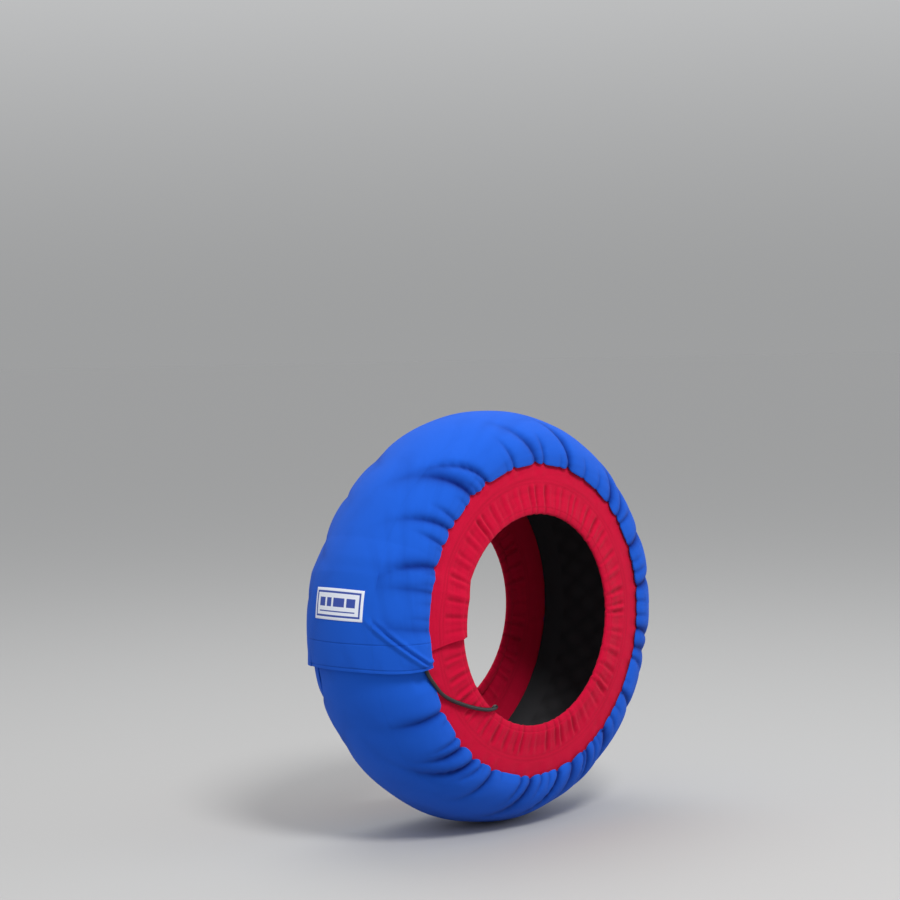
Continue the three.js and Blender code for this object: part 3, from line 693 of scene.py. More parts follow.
def crease_field(angle, reach, phase=0.0):
    """How deep in a crease each point lies, from 0 to 1. reach is its distance from the seam."""
    turned_angle = np.mod(angle + phase, 360.0)
    clear = np.ones_like(turned_angle)
    for centre, strength, length, width, lean in gathers:
        swerve = lean * reach * (0.4 + reach / 100.0)
        away = np.mod(turned_angle - centre - swerve + 180.0, 360.0) - 180.0
        spread = width * (1 + reach / 150.0)
        value = strength * np.exp(-(reach / length) ** 3)
        value = value * np.exp(-np.power(np.abs(away) / spread, 1.2))
        clear = clear * (1 - np.clip(value, 0, 0.97))
    return 1 - clear


def sag(angle, station):
    """How far the cover hangs off its layers, goes slack, and falls in at its far shoulder."""
    hang = HANG * np.sin(np.radians(angle))
    shoulder = np.exp(-((station - FALL_STATION) / FALL_SPREAD) ** 2)
    single = 1 - smooth(508.0, 516.0, angle) - smooth(186.0, 178.0, angle)
    slack = SLACK * np.exp(-((np.mod(angle, 360.0) - SLACK_ANGLE) / SLACK_SPREAD) ** 2)
    return hang + slack + SHOULDER_FALL * shoulder * np.clip(single, 0, 1)


def over_layers(offset, station):
    """The cover lies on the wadding and the lining, and can't sink into them."""
    return np.maximum(offset, np.interp(np.abs(station), LAYER_STATIONS, LAYER_LIMITS))


def lumps(angle, station):
    """The slow unevenness of wadding under cloth."""
    turn = np.radians(angle)
    tilt = np.radians(station)
    waves = 0.9 * np.sin(7 * turn + 1.2 + 1.5 * np.sin(tilt))
    waves += 0.7 * np.sin(13 * turn + 2.1 - 2.0 * tilt)
    waves += 0.5 * np.sin(19 * turn + 0.4 + 2.5 * tilt)
    return waves


def cuff_face_at(radius):
    share = (CUFF_TUCK_RADIUS - radius) / (CUFF_TUCK_RADIUS - STITCH_RADIUS)
    return CUFF_TUCK_FACE + (STITCH_FACE - CUFF_TUCK_FACE) * share


def spline_rows(control, rows):
    """A smooth line through each row of control points, at that many places along it."""
    count = control.shape[1]
    padded_control = np.concatenate([
        2 * control[:, :1] - control[:, 1:2], control, 2 * control[:, -1:] - control[:, -2:-1],
    ], axis=1)
    place = np.linspace(0, count - 1, rows)
    segment = np.minimum(place.astype(int), count - 2)
    u = (place - segment)[None, :, None]
    p0 = padded_control[:, segment]
    p1 = padded_control[:, segment + 1]
    p2 = padded_control[:, segment + 2]
    p3 = padded_control[:, segment + 3]
    line = 2 * p1 + (p2 - p0) * u + (2 * p0 - 5 * p1 + 4 * p2 - p3) * u ** 2
    return 0.5 * (line + (3 * p1 - p0 - 3 * p2 + p3) * u ** 3)


SIDE_STATIONS = np.array([36.0, 44.0, 52.0, 60.0, 68.0, 75.0, 81.0, 86.0])
SIDE_REACH = np.array([108.0, 92.0, 77.0, 61.0, 46.0, 33.0, 22.0, 12.0])
PUFF_SHARE = np.array([0.45, 0.6, 0.75, 0.9, 1.0, 1.05, 1.0, 0.9])
SINK_DEPTH = np.array([2.0, 4.0, 5.4, 6.0, 5.8, 4.8, 3.6, 2.6])
LAYER_STATIONS = [36.0, 47.0, 54.0]
LAYER_LIMITS = [7.6, 7.6, 3.4]
STITCH_ANGLES = [542.0, 550.1]
STITCH_HALF_WIDTH = 0.16
STITCH_DEPTH = 0.7
# The next number sets how much painted shade the flap's two stitch lines get.
STITCH_PAINTED_SHADE = 0.4
FOLD_ANGLES = [535.0, 543.0, 550.0]
FOLD_STATIONS = [30.0, 58.0, 82.0]
FOLD_SPACE = 9.0
END_SHIFT = 2.3
END_SHIFT_START = 538.0
END_SHIFT_SPREAD = 55.0
EDGE_RISE = 2.2


def cover_angles():
    """Angles of the strip's columns, closer together along the flap's two lines of stitches."""
    columns = int((END_ANGLE - START_ANGLE) / COVER_STEP) + 1
    angles = list(np.linspace(START_ANGLE, END_ANGLE, columns))
    for stitch in STITCH_ANGLES:
        angles = [angle for angle in angles if abs(angle - stitch) > 0.5]
        angles += [stitch + STITCH_HALF_WIDTH * step for step in range(-3, 4)]
    return np.array(sorted(angles))


def stitch_dip(angle):
    """How far the two lines of stitches pull the flap's cloth in."""
    dip = 0 * angle
    for stitch in STITCH_ANGLES:
        dip = dip + STITCH_DEPTH * np.exp(-((angle - stitch) / STITCH_HALF_WIDTH) ** 2)
    return dip


def flap_folds(angle, station, is_near):
    """Two stretched folds that run across the flap to its near corner."""
    if not is_near:
        return 0 * angle
    path = np.interp(angle, FOLD_ANGLES, FOLD_STATIONS)
    rise = smooth(532.0, 539.0, angle) * (1 - smooth(548.5, 550.8, angle))
    first = np.exp(-((station - path) / 2.8) ** 2)
    second = np.exp(-((station - path - FOLD_SPACE) / 2.6) ** 2)
    valley = np.exp(-((station - path - FOLD_SPACE / 2) / 2.0) ** 2)
    return rise * (4.6 * first + 3.8 * second - 1.8 * valley)


def end_slant(angle, station):
    """The flap's straight edge ends earlier on the tread than at its corners."""
    shift = END_SHIFT * np.exp(-np.power(np.abs(station) / END_SHIFT_SPREAD, 2.5))
    return angle - shift * smooth(END_SHIFT_START, END_ANGLE, angle)


def side_panel(name, is_near, material):
    sign = -1.0 if is_near else 1.0
    phase = 0.0 if is_near else FAR_PHASE
    angles = cover_angles()
    columns = len(angles)
    turned_angle = np.mod(angles + phase, 360.0)
    flat = flatness(turned_angle)
    top = smooth(516.0, 522.0, angles)
    ramp = np.clip((angles - RAMP_START) / (RAMP_END - RAMP_START), 0, 1)
    angle_grid = np.repeat(angles[:, None], len(SIDE_STATIONS), axis=1)
    reach_grid = np.repeat(SIDE_REACH[None, :], columns, axis=0)
    field = crease_field(angle_grid, reach_grid, phase) * flat[:, None]
    gentle = crease_field(angle_grid, reach_grid, phase) * top[:, None]
    gentle *= 1 - smooth(535.0, 545.0, angles)[:, None]
    dent = smooth(177, 182, angles) * (1 - smooth(194, 199, angles)) * (1.0 if is_near else 0.0)
    bulge = FLAP_BULGE * smooth(536, 543, angles) * (1.0 if is_near else 0.0)
    offset = CANVAS_OUT + PUFF_HEIGHT * (1 - field) * flat[:, None] * PUFF_SHARE
    offset -= SINK_DEPTH * field
    offset += PUFF_HEIGHT * 0.5 * (1 - 1.6 * gentle) * top[:, None] * PUFF_SHARE
    offset += (FLAP_RISE + FLAP_FOLD) * ramp[:, None]
    offset -= GATHER_DEPTH * dent[:, None] * (SIDE_REACH < 40) * (1 - field)
    offset += bulge[:, None] * np.clip(SIDE_REACH * -0.02 + 1.4, 0, 1)
    offset += 0.6 * lumps(angle_grid, sign * SIDE_STATIONS) * np.maximum(flat, 0.3 * top)[:, None]
    offset -= sag(angle_grid, sign * SIDE_STATIONS)
    offset = over_layers(offset, SIDE_STATIONS[None, :])
    radius, y = section_point(SIDE_STATIONS[None, :], offset)
    seam = crease_field(angles, np.zeros(columns), phase) * flat
    seam = np.maximum(seam, dent)
    cushion = (1 - seam) * flat * (1 - dent)
    edge_radius = SEAM_RADIUS + EDGE_PULL * seam - EDGE_PUFF * cushion
    face = cuff_face_at(edge_radius) + 0.4 + (FLAP_RISE + FLAP_FOLD) * ramp + bulge
    last = np.stack([radius[:, -1], y[:, -1]], axis=-1)
    top_face = face + EDGE_RISE
    above = last[:, 1] - face - EDGE_RISE
    tuck = np.stack([edge_radius + 0.8, face + CANVAS_THICKNESS * 0.8], axis=-1)
    roll = np.stack([edge_radius - 1.4 * cushion, top_face + 0.36 * above], axis=-1)
    crown = np.stack([edge_radius + 1.2 - 0.7 * cushion, top_face + 0.8 * above], axis=-1)
    control = np.concatenate([
        np.stack([radius, y], axis=-1), crown[:, None], roll[:, None], tuck[:, None],
    ], axis=1)
    line = spline_rows(control, SIDE_ROWS)
    place = np.linspace(0, control.shape[1] - 1, SIDE_ROWS)
    reach_rows = np.interp(place, np.arange(len(SIDE_REACH)), SIDE_REACH)
    reach_rows = np.where(place > len(SIDE_REACH) - 1, 4.0, reach_rows)
    row_angles = np.repeat(angles[:, None], SIDE_ROWS, axis=1)
    row_reach = np.repeat(reach_rows[None, :], columns, axis=0)
    row_stations = np.interp(place, np.arange(len(SIDE_STATIONS)), SIDE_STATIONS)[None, :]
    raised = flap_folds(row_angles, row_stations, is_near) - stitch_dip(row_angles)
    line[..., 0] += raised * np.cos(np.radians(row_stations))
    line[..., 1] += raised * np.sin(np.radians(row_stations))
    # Painted shade: the cloth's colour darkens in the creases and along the two stitch lines.
    fine = crease_field(row_angles, row_reach, phase) * np.maximum(flat, 0.5 * top)[:, None]
    fine = 1.15 * fine + STITCH_PAINTED_SHADE * stitch_dip(row_angles)
    thickness = (CANVAS_THICKNESS + FLAP_FOLD * ramp)[:, None, None]
    piece = cloth_grid(
        name, end_slant(row_angles, row_stations), line[..., 0], sign * line[..., 1],
        thickness, material, crease=np.clip(fine, 0, 1),
    )
    return piece


def tread_cloth(material):
    angles = cover_angles()
    stations = np.linspace(-SHOULDER, SHOULDER, TREAD_ROWS)
    angle_grid, station_grid = np.meshgrid(angles, stations, indexing="ij")
    turned_angle = np.mod(angle_grid, 360.0)
    flat = flatness(turned_angle)
    top = smooth(516.0, 522.0, angle_grid)
    ramp = np.clip((angle_grid - RAMP_START) / (RAMP_END - RAMP_START), 0, 1)
    reach = 108.0 + (SHOULDER - np.abs(station_grid)) * 1.9
    field = np.where(
        station_grid < 0,
        crease_field(angle_grid, reach),
        crease_field(angle_grid, reach, FAR_PHASE),
    )
    field = field * flat
    share = np.interp(np.abs(station_grid), [0.0, 12.0, SHOULDER], [0.22, 0.22, 0.45])
    offset = CANVAS_OUT + PUFF_HEIGHT * share * (1 - field) * flat
    offset += PUFF_HEIGHT * 0.5 * share * top
    offset += (FLAP_RISE + FLAP_FOLD) * ramp
    offset += 0.6 * lumps(angle_grid, station_grid) * np.maximum(flat, 0.3 * top)
    offset -= sag(angle_grid, station_grid)
    offset -= stitch_dip(angle_grid)
    near_fold = flap_folds(angle_grid, -station_grid, True)
    offset += near_fold * (station_grid < 0)
    seam_dip = np.exp(-((SHOULDER - np.abs(station_grid)) / 1.2) ** 2)
    offset -= 0.12 * seam_dip + 1.8 * field
    offset = over_layers(offset, station_grid)
    radius, y = section_point(station_grid, offset)
    thickness = (CANVAS_THICKNESS + FLAP_FOLD * ramp)[..., None]
    # Painted shade darkens the cloth's colour in the creases, along the shoulder seams and on the
    # flap's stitch lines.
    return cloth_grid(
        "tread_cloth", end_slant(angle_grid, station_grid), radius, y, thickness, material,
        crease=np.clip(
            0.06 * seam_dip + 0.8 * field + STITCH_PAINTED_SHADE * stitch_dip(angle_grid), 0, 1
        ),
    )


# Its second colour is both the dye's darker mottle and the painted shade in creases.
blue_canvas = canvas_material(
    "blue_canvas", (0.01, 0.1, 0.6), (0.0, 0.012, 0.16), 0.9
)
tread_piece = tread_cloth(blue_canvas)
near_side = side_panel("near_side_cloth", True, blue_canvas)
far_side = side_panel("far_side_cloth", False, blue_canvas)
for piece, node in (
    (tread_piece, "tread_panel"), (near_side, "near_side_panel"), (far_side, "far_side_panel"),
):
    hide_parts(node)

# Closing tapes
# The loop tape is sewn to the strip's start and the hook tape under the flap. Pressed together
# they hold the cover shut, and neither shows from outside.
TAPE_WIDTH = 50.0
TAPE_THICKNESS = 1.2
TAPE_FIT = 0.5
TAPE_EDGE_MARGIN = 6.0
TAPE_STATION = 30.0
TAPE_COLUMNS = 12
TAPE_ROWS = 30
LOOP_IN = CANVAS_OUT + TAPE_FIT
HOOK_IN = LOOP_IN + TAPE_THICKNESS + TAPE_FIT


def tape_strip(name, turn_back, low, node):
    """A strip of tape across the tread, as wide as the flap's smooth part."""
    per_degree = SEAT_RADIUS * math.radians(1)
    tape_end = END_ANGLE - TAPE_EDGE_MARGIN / per_degree
    tape_start = tape_end - TAPE_WIDTH / per_degree
    angles = np.linspace(tape_start, tape_end, TAPE_COLUMNS)
    stations = np.linspace(-TAPE_STATION, TAPE_STATION, TAPE_ROWS)
    angle_grid, station_grid = np.meshgrid(angles, stations, indexing="ij")
    radius, y = section_point(station_grid, low + TAPE_THICKNESS - sag(angle_grid, station_grid))
    angle_grid = end_slant(angle_grid, station_grid) - turn_back
    tape = cloth_grid(
        name, angle_grid, radius, y, TAPE_THICKNESS, closing_tape
    )
    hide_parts(node)


tape_strip("loop_strip", 360.0, LOOP_IN, "loop_tape")
tape_strip("hook_strip", 0.0, HOOK_IN, "hook_tape")

# Side cuffs
# Red canvas rings sewn into the side panels' seams. They are flat along a double stitched line,
# and ruched where the elastic in their hem draws them in.
RUCH_RADIUS = 207.0
CUFF_INNER_RADIUS = 180.0
RUCH_FACE = 113.6
RIM_FACE = 114.2
CUFF_START = 168.0
CUFF_END = 546.0
CUFF_THICKNESS = 1.2
CUFF_END_SLANT = 3.0
CUFF_EDGE_LIFT = 3.8
CUFF_RIM_LIFT = 7.8
HEM_RADIUS = 172.0
HEM_LIP_RADIUS = 187.0
HEM_HALF_HEIGHT = 3.7
CUFF_STEP = 0.5
CUFF_ROWS = 44
CUFF_END_TUCK = 10.5
CUFF_CURL = 2.5
PLEATS = 64
FINE_PLEATS = 103
PLEAT_HEIGHT = 2.0
CUFF_PHASES = {True: 0.4, False: 2.9}


def pleat_wave(angle, radius, phase):
    """Irregular narrow pleats across the ruched part of a cuff, from -1 to 1."""
    turn = np.radians(angle)
    wander = 0.5 * np.sin(5 * turn + phase) + 0.35 * np.sin(11 * turn + 2.3 * phase)
    lean = (radius - RUCH_RADIUS) / 60.0 * np.sin(4 * turn + phase)
    main = np.sin(PLEATS * turn + 3.0 * wander + 0.6 * lean)
    fine = np.sin(FINE_PLEATS * turn + 2.0 * wander - 0.9 * lean + 1.0)
    strength = 0.75 + 0.25 * np.sin(9 * turn + 1.7 * phase)
    wave = (0.65 * main + 0.4 * fine) * strength
    return wave * (1 + 0.25 * np.sin(17 * turn + 2.0 * phase))


def cuff_lift(radius, ramp):
    share = np.clip((SEAM_RADIUS - radius) / (SEAM_RADIUS - HEM_LIP_RADIUS), 0, 1)
    return (CUFF_EDGE_LIFT + (CUFF_RIM_LIFT - CUFF_EDGE_LIFT) * share) * ramp


def cuff_turn(radius, angle):
    share = np.clip((SEAM_RADIUS - radius) / (SEAM_RADIUS - HEM_RADIUS), 0, 1)
    return -CUFF_END_SLANT * share * smooth(CUFF_END - 14, CUFF_END, angle)


def cuff_cloth(name, is_near, material):
    sign = -1.0 if is_near else 1.0
    phase = CUFF_PHASES[is_near]
    columns = int((CUFF_END - CUFF_START) / CUFF_STEP) + 1
    angles = np.linspace(CUFF_START, CUFF_END, columns)
    ramp = np.clip((angles - RAMP_START) / (RAMP_END - RAMP_START), 0, 1)
    tuck = CUFF_TUCK_RADIUS - CUFF_END_TUCK * ramp
    share = np.linspace(0, 1, CUFF_ROWS)[None, :]
    radius = tuck[:, None] + (CUFF_INNER_RADIUS - tuck[:, None]) * share
    face = np.interp(
        radius,
        [CUFF_INNER_RADIUS, CUFF_INNER_RADIUS + 4, CUFF_INNER_RADIUS + 10, RUCH_RADIUS,
         STITCH_RADIUS, CUFF_TUCK_RADIUS],
        [RIM_FACE + 1.4, RIM_FACE + 3.4, RIM_FACE + 2.6, RUCH_FACE, STITCH_FACE, CUFF_TUCK_FACE],
    )
    angle_grid = np.repeat(angles[:, None], CUFF_ROWS, axis=1)
    ring_angle = np.mod(angles, 360)
    calm = 1 - 0.6 * smooth(160, 168, ring_angle) * (1 - smooth(188, 196, ring_angle))
    window = 1 - smooth(STITCH_RADIUS - 16, STITCH_RADIUS - 5, radius)
    window = window * (0.3 + 0.7 * smooth(CUFF_INNER_RADIUS, CUFF_INNER_RADIUS + 12, radius))
    wave = pleat_wave(angle_grid, radius, phase)
    ruche = PLEAT_HEIGHT * wave * window * calm[:, None]
    band = smooth(STITCH_RADIUS + 3, STITCH_RADIUS + 12, radius)
    ruche = ruche + 0.7 * band * pleat_wave(angle_grid * 0.6, radius, phase + 1) * calm[:, None]
    stitch_line = np.exp(-((radius - STITCH_RADIUS) / 1.3) ** 2)
    stitch_line += np.exp(-((radius - STITCH_RADIUS + 6) / 1.3) ** 2)
    curl = CUFF_CURL * smooth(CUFF_END - 6, CUFF_END, angle_grid) * (1 - smooth(186, 222, radius))
    y = face + ruche - 0.45 * stitch_line + cuff_lift(radius, ramp[:, None]) + curl
    bent = angle_grid + cuff_turn(radius, angle_grid)
    # Painted shade darkens the red in the pleats' hollows and along the double stitched line.
    crease = np.clip(0.5 * window * np.clip(-wave, 0, 1) + 0.22 * stitch_line, 0, 1)
    return skewed_cloth(name, np.radians(bent), radius, sign * y, material, crease, sign)


def skewed_cloth(name, turn, radius, y, material, crease, sign):
    """Cloth like cloth_grid's, of cuff thickness, where each point has its own angle."""
    outward = np.array([0.0, sign, 0.0])
    outer = np.stack([radius * np.cos(turn), y, radius * np.sin(turn)], axis=-1)
    inner = outer - outward * CUFF_THICKNESS
    flat = np.stack([turn * radius, radius, 0 * radius], axis=-1)
    return cloth_shell(name, outer, inner, flat, crease, outward, material)


# Its second colour is both the dye's darker mottle and the painted shade in pleats and stitch
# lines.
red_canvas = canvas_material(
    "red_canvas", (0.55, 0.002, 0.034), (0.15, 0.0, 0.008), 0.9
)
near_cuff_cloth = cuff_cloth("near_cuff_cloth", True, red_canvas)
far_cuff_cloth = cuff_cloth("far_cuff_cloth", False, red_canvas)
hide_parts("near_cuff")
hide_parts("far_cuff")

# Hem casings
# A strip of the red canvas folded over each cuff's inner edge and sewn down. The elastic runs
# inside it, and its pull makes the casing pucker finely.
HEM_STEP = 0.6
HEM_CLOTH = 1.2
HEM_BEND = 6.0
HEM_ROWS = 34
HEM_ROW_STEP = 1.1
HEM_MIDDLE_RADIUS = 178.0


def hem_casing(name, is_near, material):
    sign = -1.0 if is_near else 1.0
    phase = CUFF_PHASES[is_near]
    columns = int((CUFF_END - CUFF_START) / HEM_STEP) + 1
    angles = np.linspace(CUFF_START, CUFF_END, columns)
    ramp = np.clip((angles - RAMP_START) / (RAMP_END - RAMP_START), 0, 1)
    bend = HEM_RADIUS + HEM_BEND
    outline = np.array([
        (HEM_LIP_RADIUS + 0.3, 1.4), (HEM_LIP_RADIUS - 2.0, 2.7),
        (bend + 4, HEM_HALF_HEIGHT), (bend, HEM_HALF_HEIGHT),
        (HEM_RADIUS + 1.6, 2.6), (HEM_RADIUS, 0.0), (HEM_RADIUS + 1.6, -2.6),
        (bend, -HEM_HALF_HEIGHT), (bend + 4, -HEM_HALF_HEIGHT),
        (HEM_LIP_RADIUS - 2.0, -2.9), (HEM_LIP_RADIUS + 0.3, -2.6),
    ])
    control = np.repeat(outline[None, :, :], columns, axis=0)
    pucker = pleat_wave(angles, np.full(columns, RUCH_RADIUS), phase)
    control[:, 0:5, 1] += 0.8 * pucker[:, None]
    control[:, 4:7, 0] += 0.7 * pucker[:, None]
    line = spline_rows(control, HEM_ROWS)
    radius = line[..., 0]
    mid = RIM_FACE - 0.7
    y = mid + line[..., 1] + cuff_lift(radius, ramp[:, None])
    turn = np.radians(angles[:, None] + cuff_turn(radius, angles[:, None]))
    inward = np.stack([np.where(radius > bend, 0.0, bend + 1 - radius), -line[..., 1]], axis=-1)
    inward /= np.maximum(np.linalg.norm(inward, axis=-1, keepdims=True), 1e-6)
    inner_radius = radius + inward[..., 0] * HEM_CLOTH
    inner_y = y + inward[..., 1] * HEM_CLOTH
    loop_radius = np.concatenate([radius, inner_radius[:, ::-1]], axis=1)
    loop_y = np.concatenate([y, inner_y[:, ::-1]], axis=1)
    loop_turn = np.concatenate([turn, turn[:, ::-1]], axis=1)
    points = np.stack([
        loop_radius * np.cos(loop_turn), sign * loop_y, loop_radius * np.sin(loop_turn),
    ], axis=-1)
    ring = points.shape[1]
    index = np.arange(columns * ring).reshape(columns, ring)
    wrapped = np.roll(index, -1, axis=1)
    faces = np.stack([index[:-1], index[1:], wrapped[1:], wrapped[:-1]], axis=-1).reshape(-1, 4)
    caps = []
    for k in range(HEM_ROWS - 1):
        caps.append((index[0, k], index[0, k + 1], index[0, ring - 2 - k], index[0, ring - 1 - k]))
        end = index[-1]
        caps.append((end[k + 1], end[k], end[ring - 1 - k], end[ring - 2 - k]))
    faces = np.concatenate([faces, np.array(caps)])
    corners = points.reshape(-1, 3)[faces[5 * ring + 12]]
    first = np.cross(corners[1] - corners[0], corners[2] - corners[0])
    away = corners[0] - points[5].mean(axis=0)
    if np.dot(first, away) < 0:
        faces = faces[:, ::-1]
    piece = add_piece(name, points.reshape(-1, 3), faces.tolist(), material)
    row_place = np.cumsum(np.full(HEM_ROWS, HEM_ROW_STEP))
    flat = np.stack([
        np.repeat(np.radians(angles)[:, None] * HEM_MIDDLE_RADIUS, ring, axis=1),
        np.repeat(np.concatenate([row_place, row_place[::-1]])[None, :], columns, axis=0),
        np.zeros((columns, ring)),
    ], axis=-1)
    # Painted shade darkens the casing in the hollows of its pucker.
    painted_crease_shade = np.repeat(np.clip(-0.4 * pucker, 0, 1)[:, None], ring, axis=1)
    mark_cloth(piece, flat.reshape(-1, 3), painted_crease_shade.reshape(-1))
    return piece


near_hem = hem_casing("near_hem_cloth", True, red_canvas)
far_hem = hem_casing("far_hem_cloth", False, red_canvas)
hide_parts("near_hem_casing")
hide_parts("far_hem_casing")

# Elastics
# Flat braided elastic, pulled tight and sewn into a ring inside each hem casing. The casing
# hides it all round.
elastic_braid = canvas_material(
    "elastic_braid", (0.7, 0.68, 0.62), (0.45, 0.43, 0.38), 0.8, 0.8, 0.5
)
dress_node("near_elastic", elastic_braid)
dress_node("far_elastic", elastic_braid)

# Label patch
# A woven white patch with a thin blue frame, sewn to the flap along its border. It carries plain
# bars and no words.
LABEL_ANGLE = 531.5
LABEL_LENGTH = 47.0
LABEL_HALF_WIDTH = 51.0
LABEL_SHIFT = 5.0
LABEL_THICKNESS = 0.8
LABEL_COLUMNS = 40
LABEL_ROWS = 64


def label_material():
    """White satin cloth with blue bands, laid out in the patch's own length and width."""
    material, tree, shader = new_material("label_cloth", (0.78, 0.82, 0.92), 0.6)
    place = add_node(tree, "ShaderNodeAttribute", attribute_name="patch")
    split = tree.nodes.new("ShaderNodeSeparateXYZ")
    tree.links.new(place.outputs["Vector"], split.inputs["Vector"])

    def inside(axis, low, high):
        """1 where the patch coordinate lies between low and high."""
        above = add_node(tree, "ShaderNodeMath", operation="GREATER_THAN")
        above.inputs[1].default_value = low
        tree.links.new(split.outputs[axis], above.inputs[0])
        below = add_node(tree, "ShaderNodeMath", operation="LESS_THAN")
        below.inputs[1].default_value = high
        tree.links.new(split.outputs[axis], below.inputs[0])
        both = add_node(tree, "ShaderNodeMath", operation="MULTIPLY")
        tree.links.new(above.outputs["Value"], both.inputs[0])
        tree.links.new(below.outputs["Value"], both.inputs[1])
        return both.outputs["Value"]

    def box(x0, x1, y0, y1):
        field = add_node(tree, "ShaderNodeMath", operation="MULTIPLY")
        tree.links.new(inside("X", x0, x1), field.inputs[0])
        tree.links.new(inside("Y", y0, y1), field.inputs[1])
        return field.outputs["Value"]

    def combine(first, second, operation):
        node = add_node(tree, "ShaderNodeMath", operation=operation)
        node.use_clamp = True
        tree.links.new(first, node.inputs[0])
        tree.links.new(second, node.inputs[1])
        return node.outputs["Value"]

    frame_outer = box(0.045, 0.955, 0.09, 0.91)
    frame_inner = box(0.075, 0.925, 0.155, 0.845)
    border = combine(frame_outer, frame_inner, "SUBTRACT")
    blue_field = border
    for x0, x1 in ((0.14, 0.30), (0.34, 0.56), (0.60, 0.70), (0.74, 0.87)):
        blue_field = combine(blue_field, box(x0, x1, 0.42, 0.70), "ADD")
    thin_bar = box(0.14, 0.87, 0.25, 0.29)
    blue_field = combine(blue_field, thin_bar, "ADD")
    shades = tree.nodes.new("ShaderNodeMix")
    shades.data_type = "RGBA"
    color_sockets = [socket for socket in shades.inputs if socket.type == "RGBA"]
    color_sockets[0].default_value = (0.78, 0.82, 0.92, 1.0)
    color_sockets[1].default_value = (0.03, 0.07, 0.38, 1.0)
    tree.links.new(blue_field, shades.inputs["Factor"])
    mixed = [socket for socket in shades.outputs if socket.type == "RGBA"][0]
    tree.links.new(mixed, shader.inputs["Base Color"])
    threads = add_node(tree, "ShaderNodeTexNoise", Scale=900.0, Detail=2.0)
    tree.links.new(place.outputs["Vector"], threads.inputs["Vector"])
    add_bump(tree, shader, threads.outputs["Fac"], 0.2, 0.0002)
    return material


def label_piece():
    half_span = LABEL_LENGTH / SEAT_RADIUS / math.radians(1) / 2
    angles = np.linspace(LABEL_ANGLE - half_span, LABEL_ANGLE + half_span, LABEL_COLUMNS)
    across = SEAT_HALF_WIDTH + CANVAS_OUT + FLAP_RISE + FLAP_FOLD
    near_edge = -math.degrees(math.asin((LABEL_HALF_WIDTH + LABEL_SHIFT) / across))
    far_edge = math.degrees(math.asin((LABEL_HALF_WIDTH - LABEL_SHIFT) / across))
    stations = np.linspace(near_edge, far_edge, LABEL_ROWS)
    angle_grid, station_grid = np.meshgrid(angles, stations, indexing="ij")
    ramp = np.clip((angle_grid - RAMP_START) / (RAMP_END - RAMP_START), 0, 1)
    share = np.interp(np.abs(station_grid), [0.0, 12.0, SHOULDER], [0.22, 0.22, 0.45])
    offset = CANVAS_OUT + (FLAP_RISE + FLAP_FOLD) * ramp + 0.25 + LABEL_THICKNESS
    offset += PUFF_HEIGHT * 0.5 * share
    offset += 0.12 * lumps(angle_grid, station_grid)
    offset -= sag(angle_grid, station_grid)
    offset += flap_folds(angle_grid, -station_grid, True) * (station_grid < 0)
    border = np.minimum(
        np.abs(angle_grid - angles[0]), np.abs(angle_grid - angles[-1])
    ) * 5.9
    border = np.minimum(border, (station_grid - near_edge) * 1.9)
    border = np.minimum(border, (far_edge - station_grid) * 1.9)
    offset -= 0.45 * np.exp(-(border / 1.0) ** 2)
    radius, y = section_point(station_grid, offset)
    piece = cloth_grid(
        "label_cloth", angles, radius, y, LABEL_THICKNESS, label_material()
    )
    u = (station_grid - near_edge) / (far_edge - near_edge)
    v = (angles[-1] - angle_grid) / (angles[-1] - angles[0])
    patch = np.stack([u, v, 0 * u], axis=-1).reshape(-1, 3)
    both = np.concatenate([patch, patch]).astype(np.float32)
    attribute = piece.data.attributes.new("patch", "FLOAT_VECTOR", "POINT")
    attribute.data.foreach_set("vector", both.ravel())
    return piece


label_cloth = label_piece()
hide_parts("label_patch")

# Studio
# A pale grey floor that runs out to a sky of the same grey, so that no edge shows behind the
# cover. Large soft lights stand above and to both sides.
FLOOR_COLOR = (0.42, 0.42, 0.42)
FLOOR_REACH = 60.0
FLOOR_DROP = 1.4
SKY_COLOR = (0.98, 0.99, 1.0, 1.0)
SKY_LOW = 0.35
SKY_HIGH = 0.75
SKY_RISE = 0.3


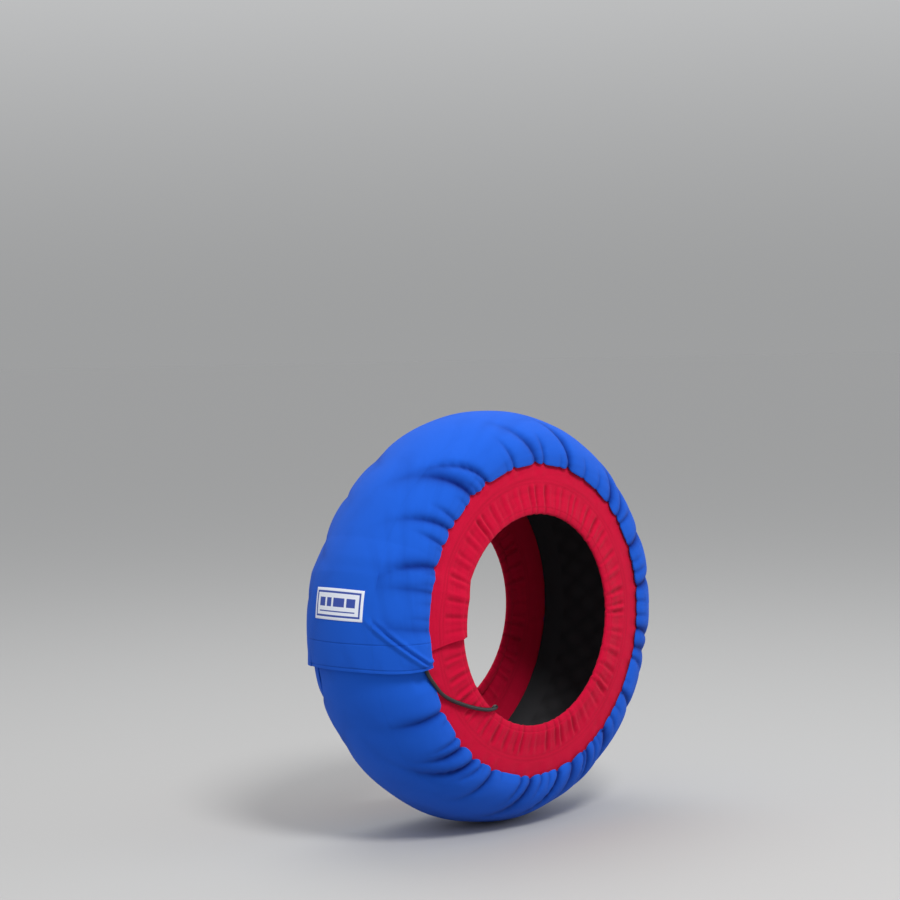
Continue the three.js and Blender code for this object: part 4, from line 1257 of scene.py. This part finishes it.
def studio_floor():
    floor_material, _, _ = new_material("studio_floor", FLOOR_COLOR, 0.85)
    mesh = bpy.data.meshes.new("floor")
    reach = FLOOR_REACH
    z = (FLOOR - FLOOR_DROP) * MM
    corners = [(-reach, -reach, z), (reach, -reach, z), (reach, reach, z), (-reach, reach, z)]
    mesh.from_pydata(corners, [], [(0, 1, 2, 3)])
    mesh.materials.append(floor_material)
    floor = bpy.data.objects.new("floor", mesh)
    bpy.context.scene.collection.objects.link(floor)


def area_light(name, place, size, power, color):
    """A soft round lamp that points at the cover's centre."""
    light = bpy.data.lights.new(name, "AREA")
    light.shape = "DISK"
    light.size = size
    light.energy = power
    light.color = color
    lamp = bpy.data.objects.new(name, light)
    lamp.location = place
    lamp.rotation_euler = (-Vector(place)).to_track_quat("-Z", "Y").to_euler()
    bpy.context.scene.collection.objects.link(lamp)


studio_floor()
area_light("key_light", (-1.0, -2.6, 3.4), 1.2, 126.0, (1.0, 0.98, 0.95))
area_light("fill_light", (2.8, -2.6, 1.2), 2.6, 20.0, (0.9, 0.95, 1.0))
area_light("top_light", (0.6, 1.2, 3.2), 2.4, 32.0, (1.0, 1.0, 1.0))
world = bpy.data.worlds.new("studio")
world.use_nodes = True
sky = world.node_tree
sky_place = sky.nodes.new("ShaderNodeTexCoord")
sky_split = sky.nodes.new("ShaderNodeSeparateXYZ")
sky_ramp = sky.nodes.new("ShaderNodeMapRange")
sky_ramp.inputs["From Min"].default_value = 0.0
sky_ramp.inputs["From Max"].default_value = SKY_RISE
sky_ramp.inputs["To Min"].default_value = SKY_LOW
sky_ramp.inputs["To Max"].default_value = SKY_HIGH
sky_ramp.interpolation_type = "SMOOTHSTEP"
sky.links.new(sky_place.outputs["Generated"], sky_split.inputs["Vector"])
sky.links.new(sky_split.outputs["Z"], sky_ramp.inputs["Value"])
sky.links.new(sky_ramp.outputs["Result"], sky.nodes["Background"].inputs["Strength"])
sky.nodes["Background"].inputs["Color"].default_value = SKY_COLOR
bpy.context.scene.world = world
bpy.context.scene.view_settings.view_transform = "Standard"
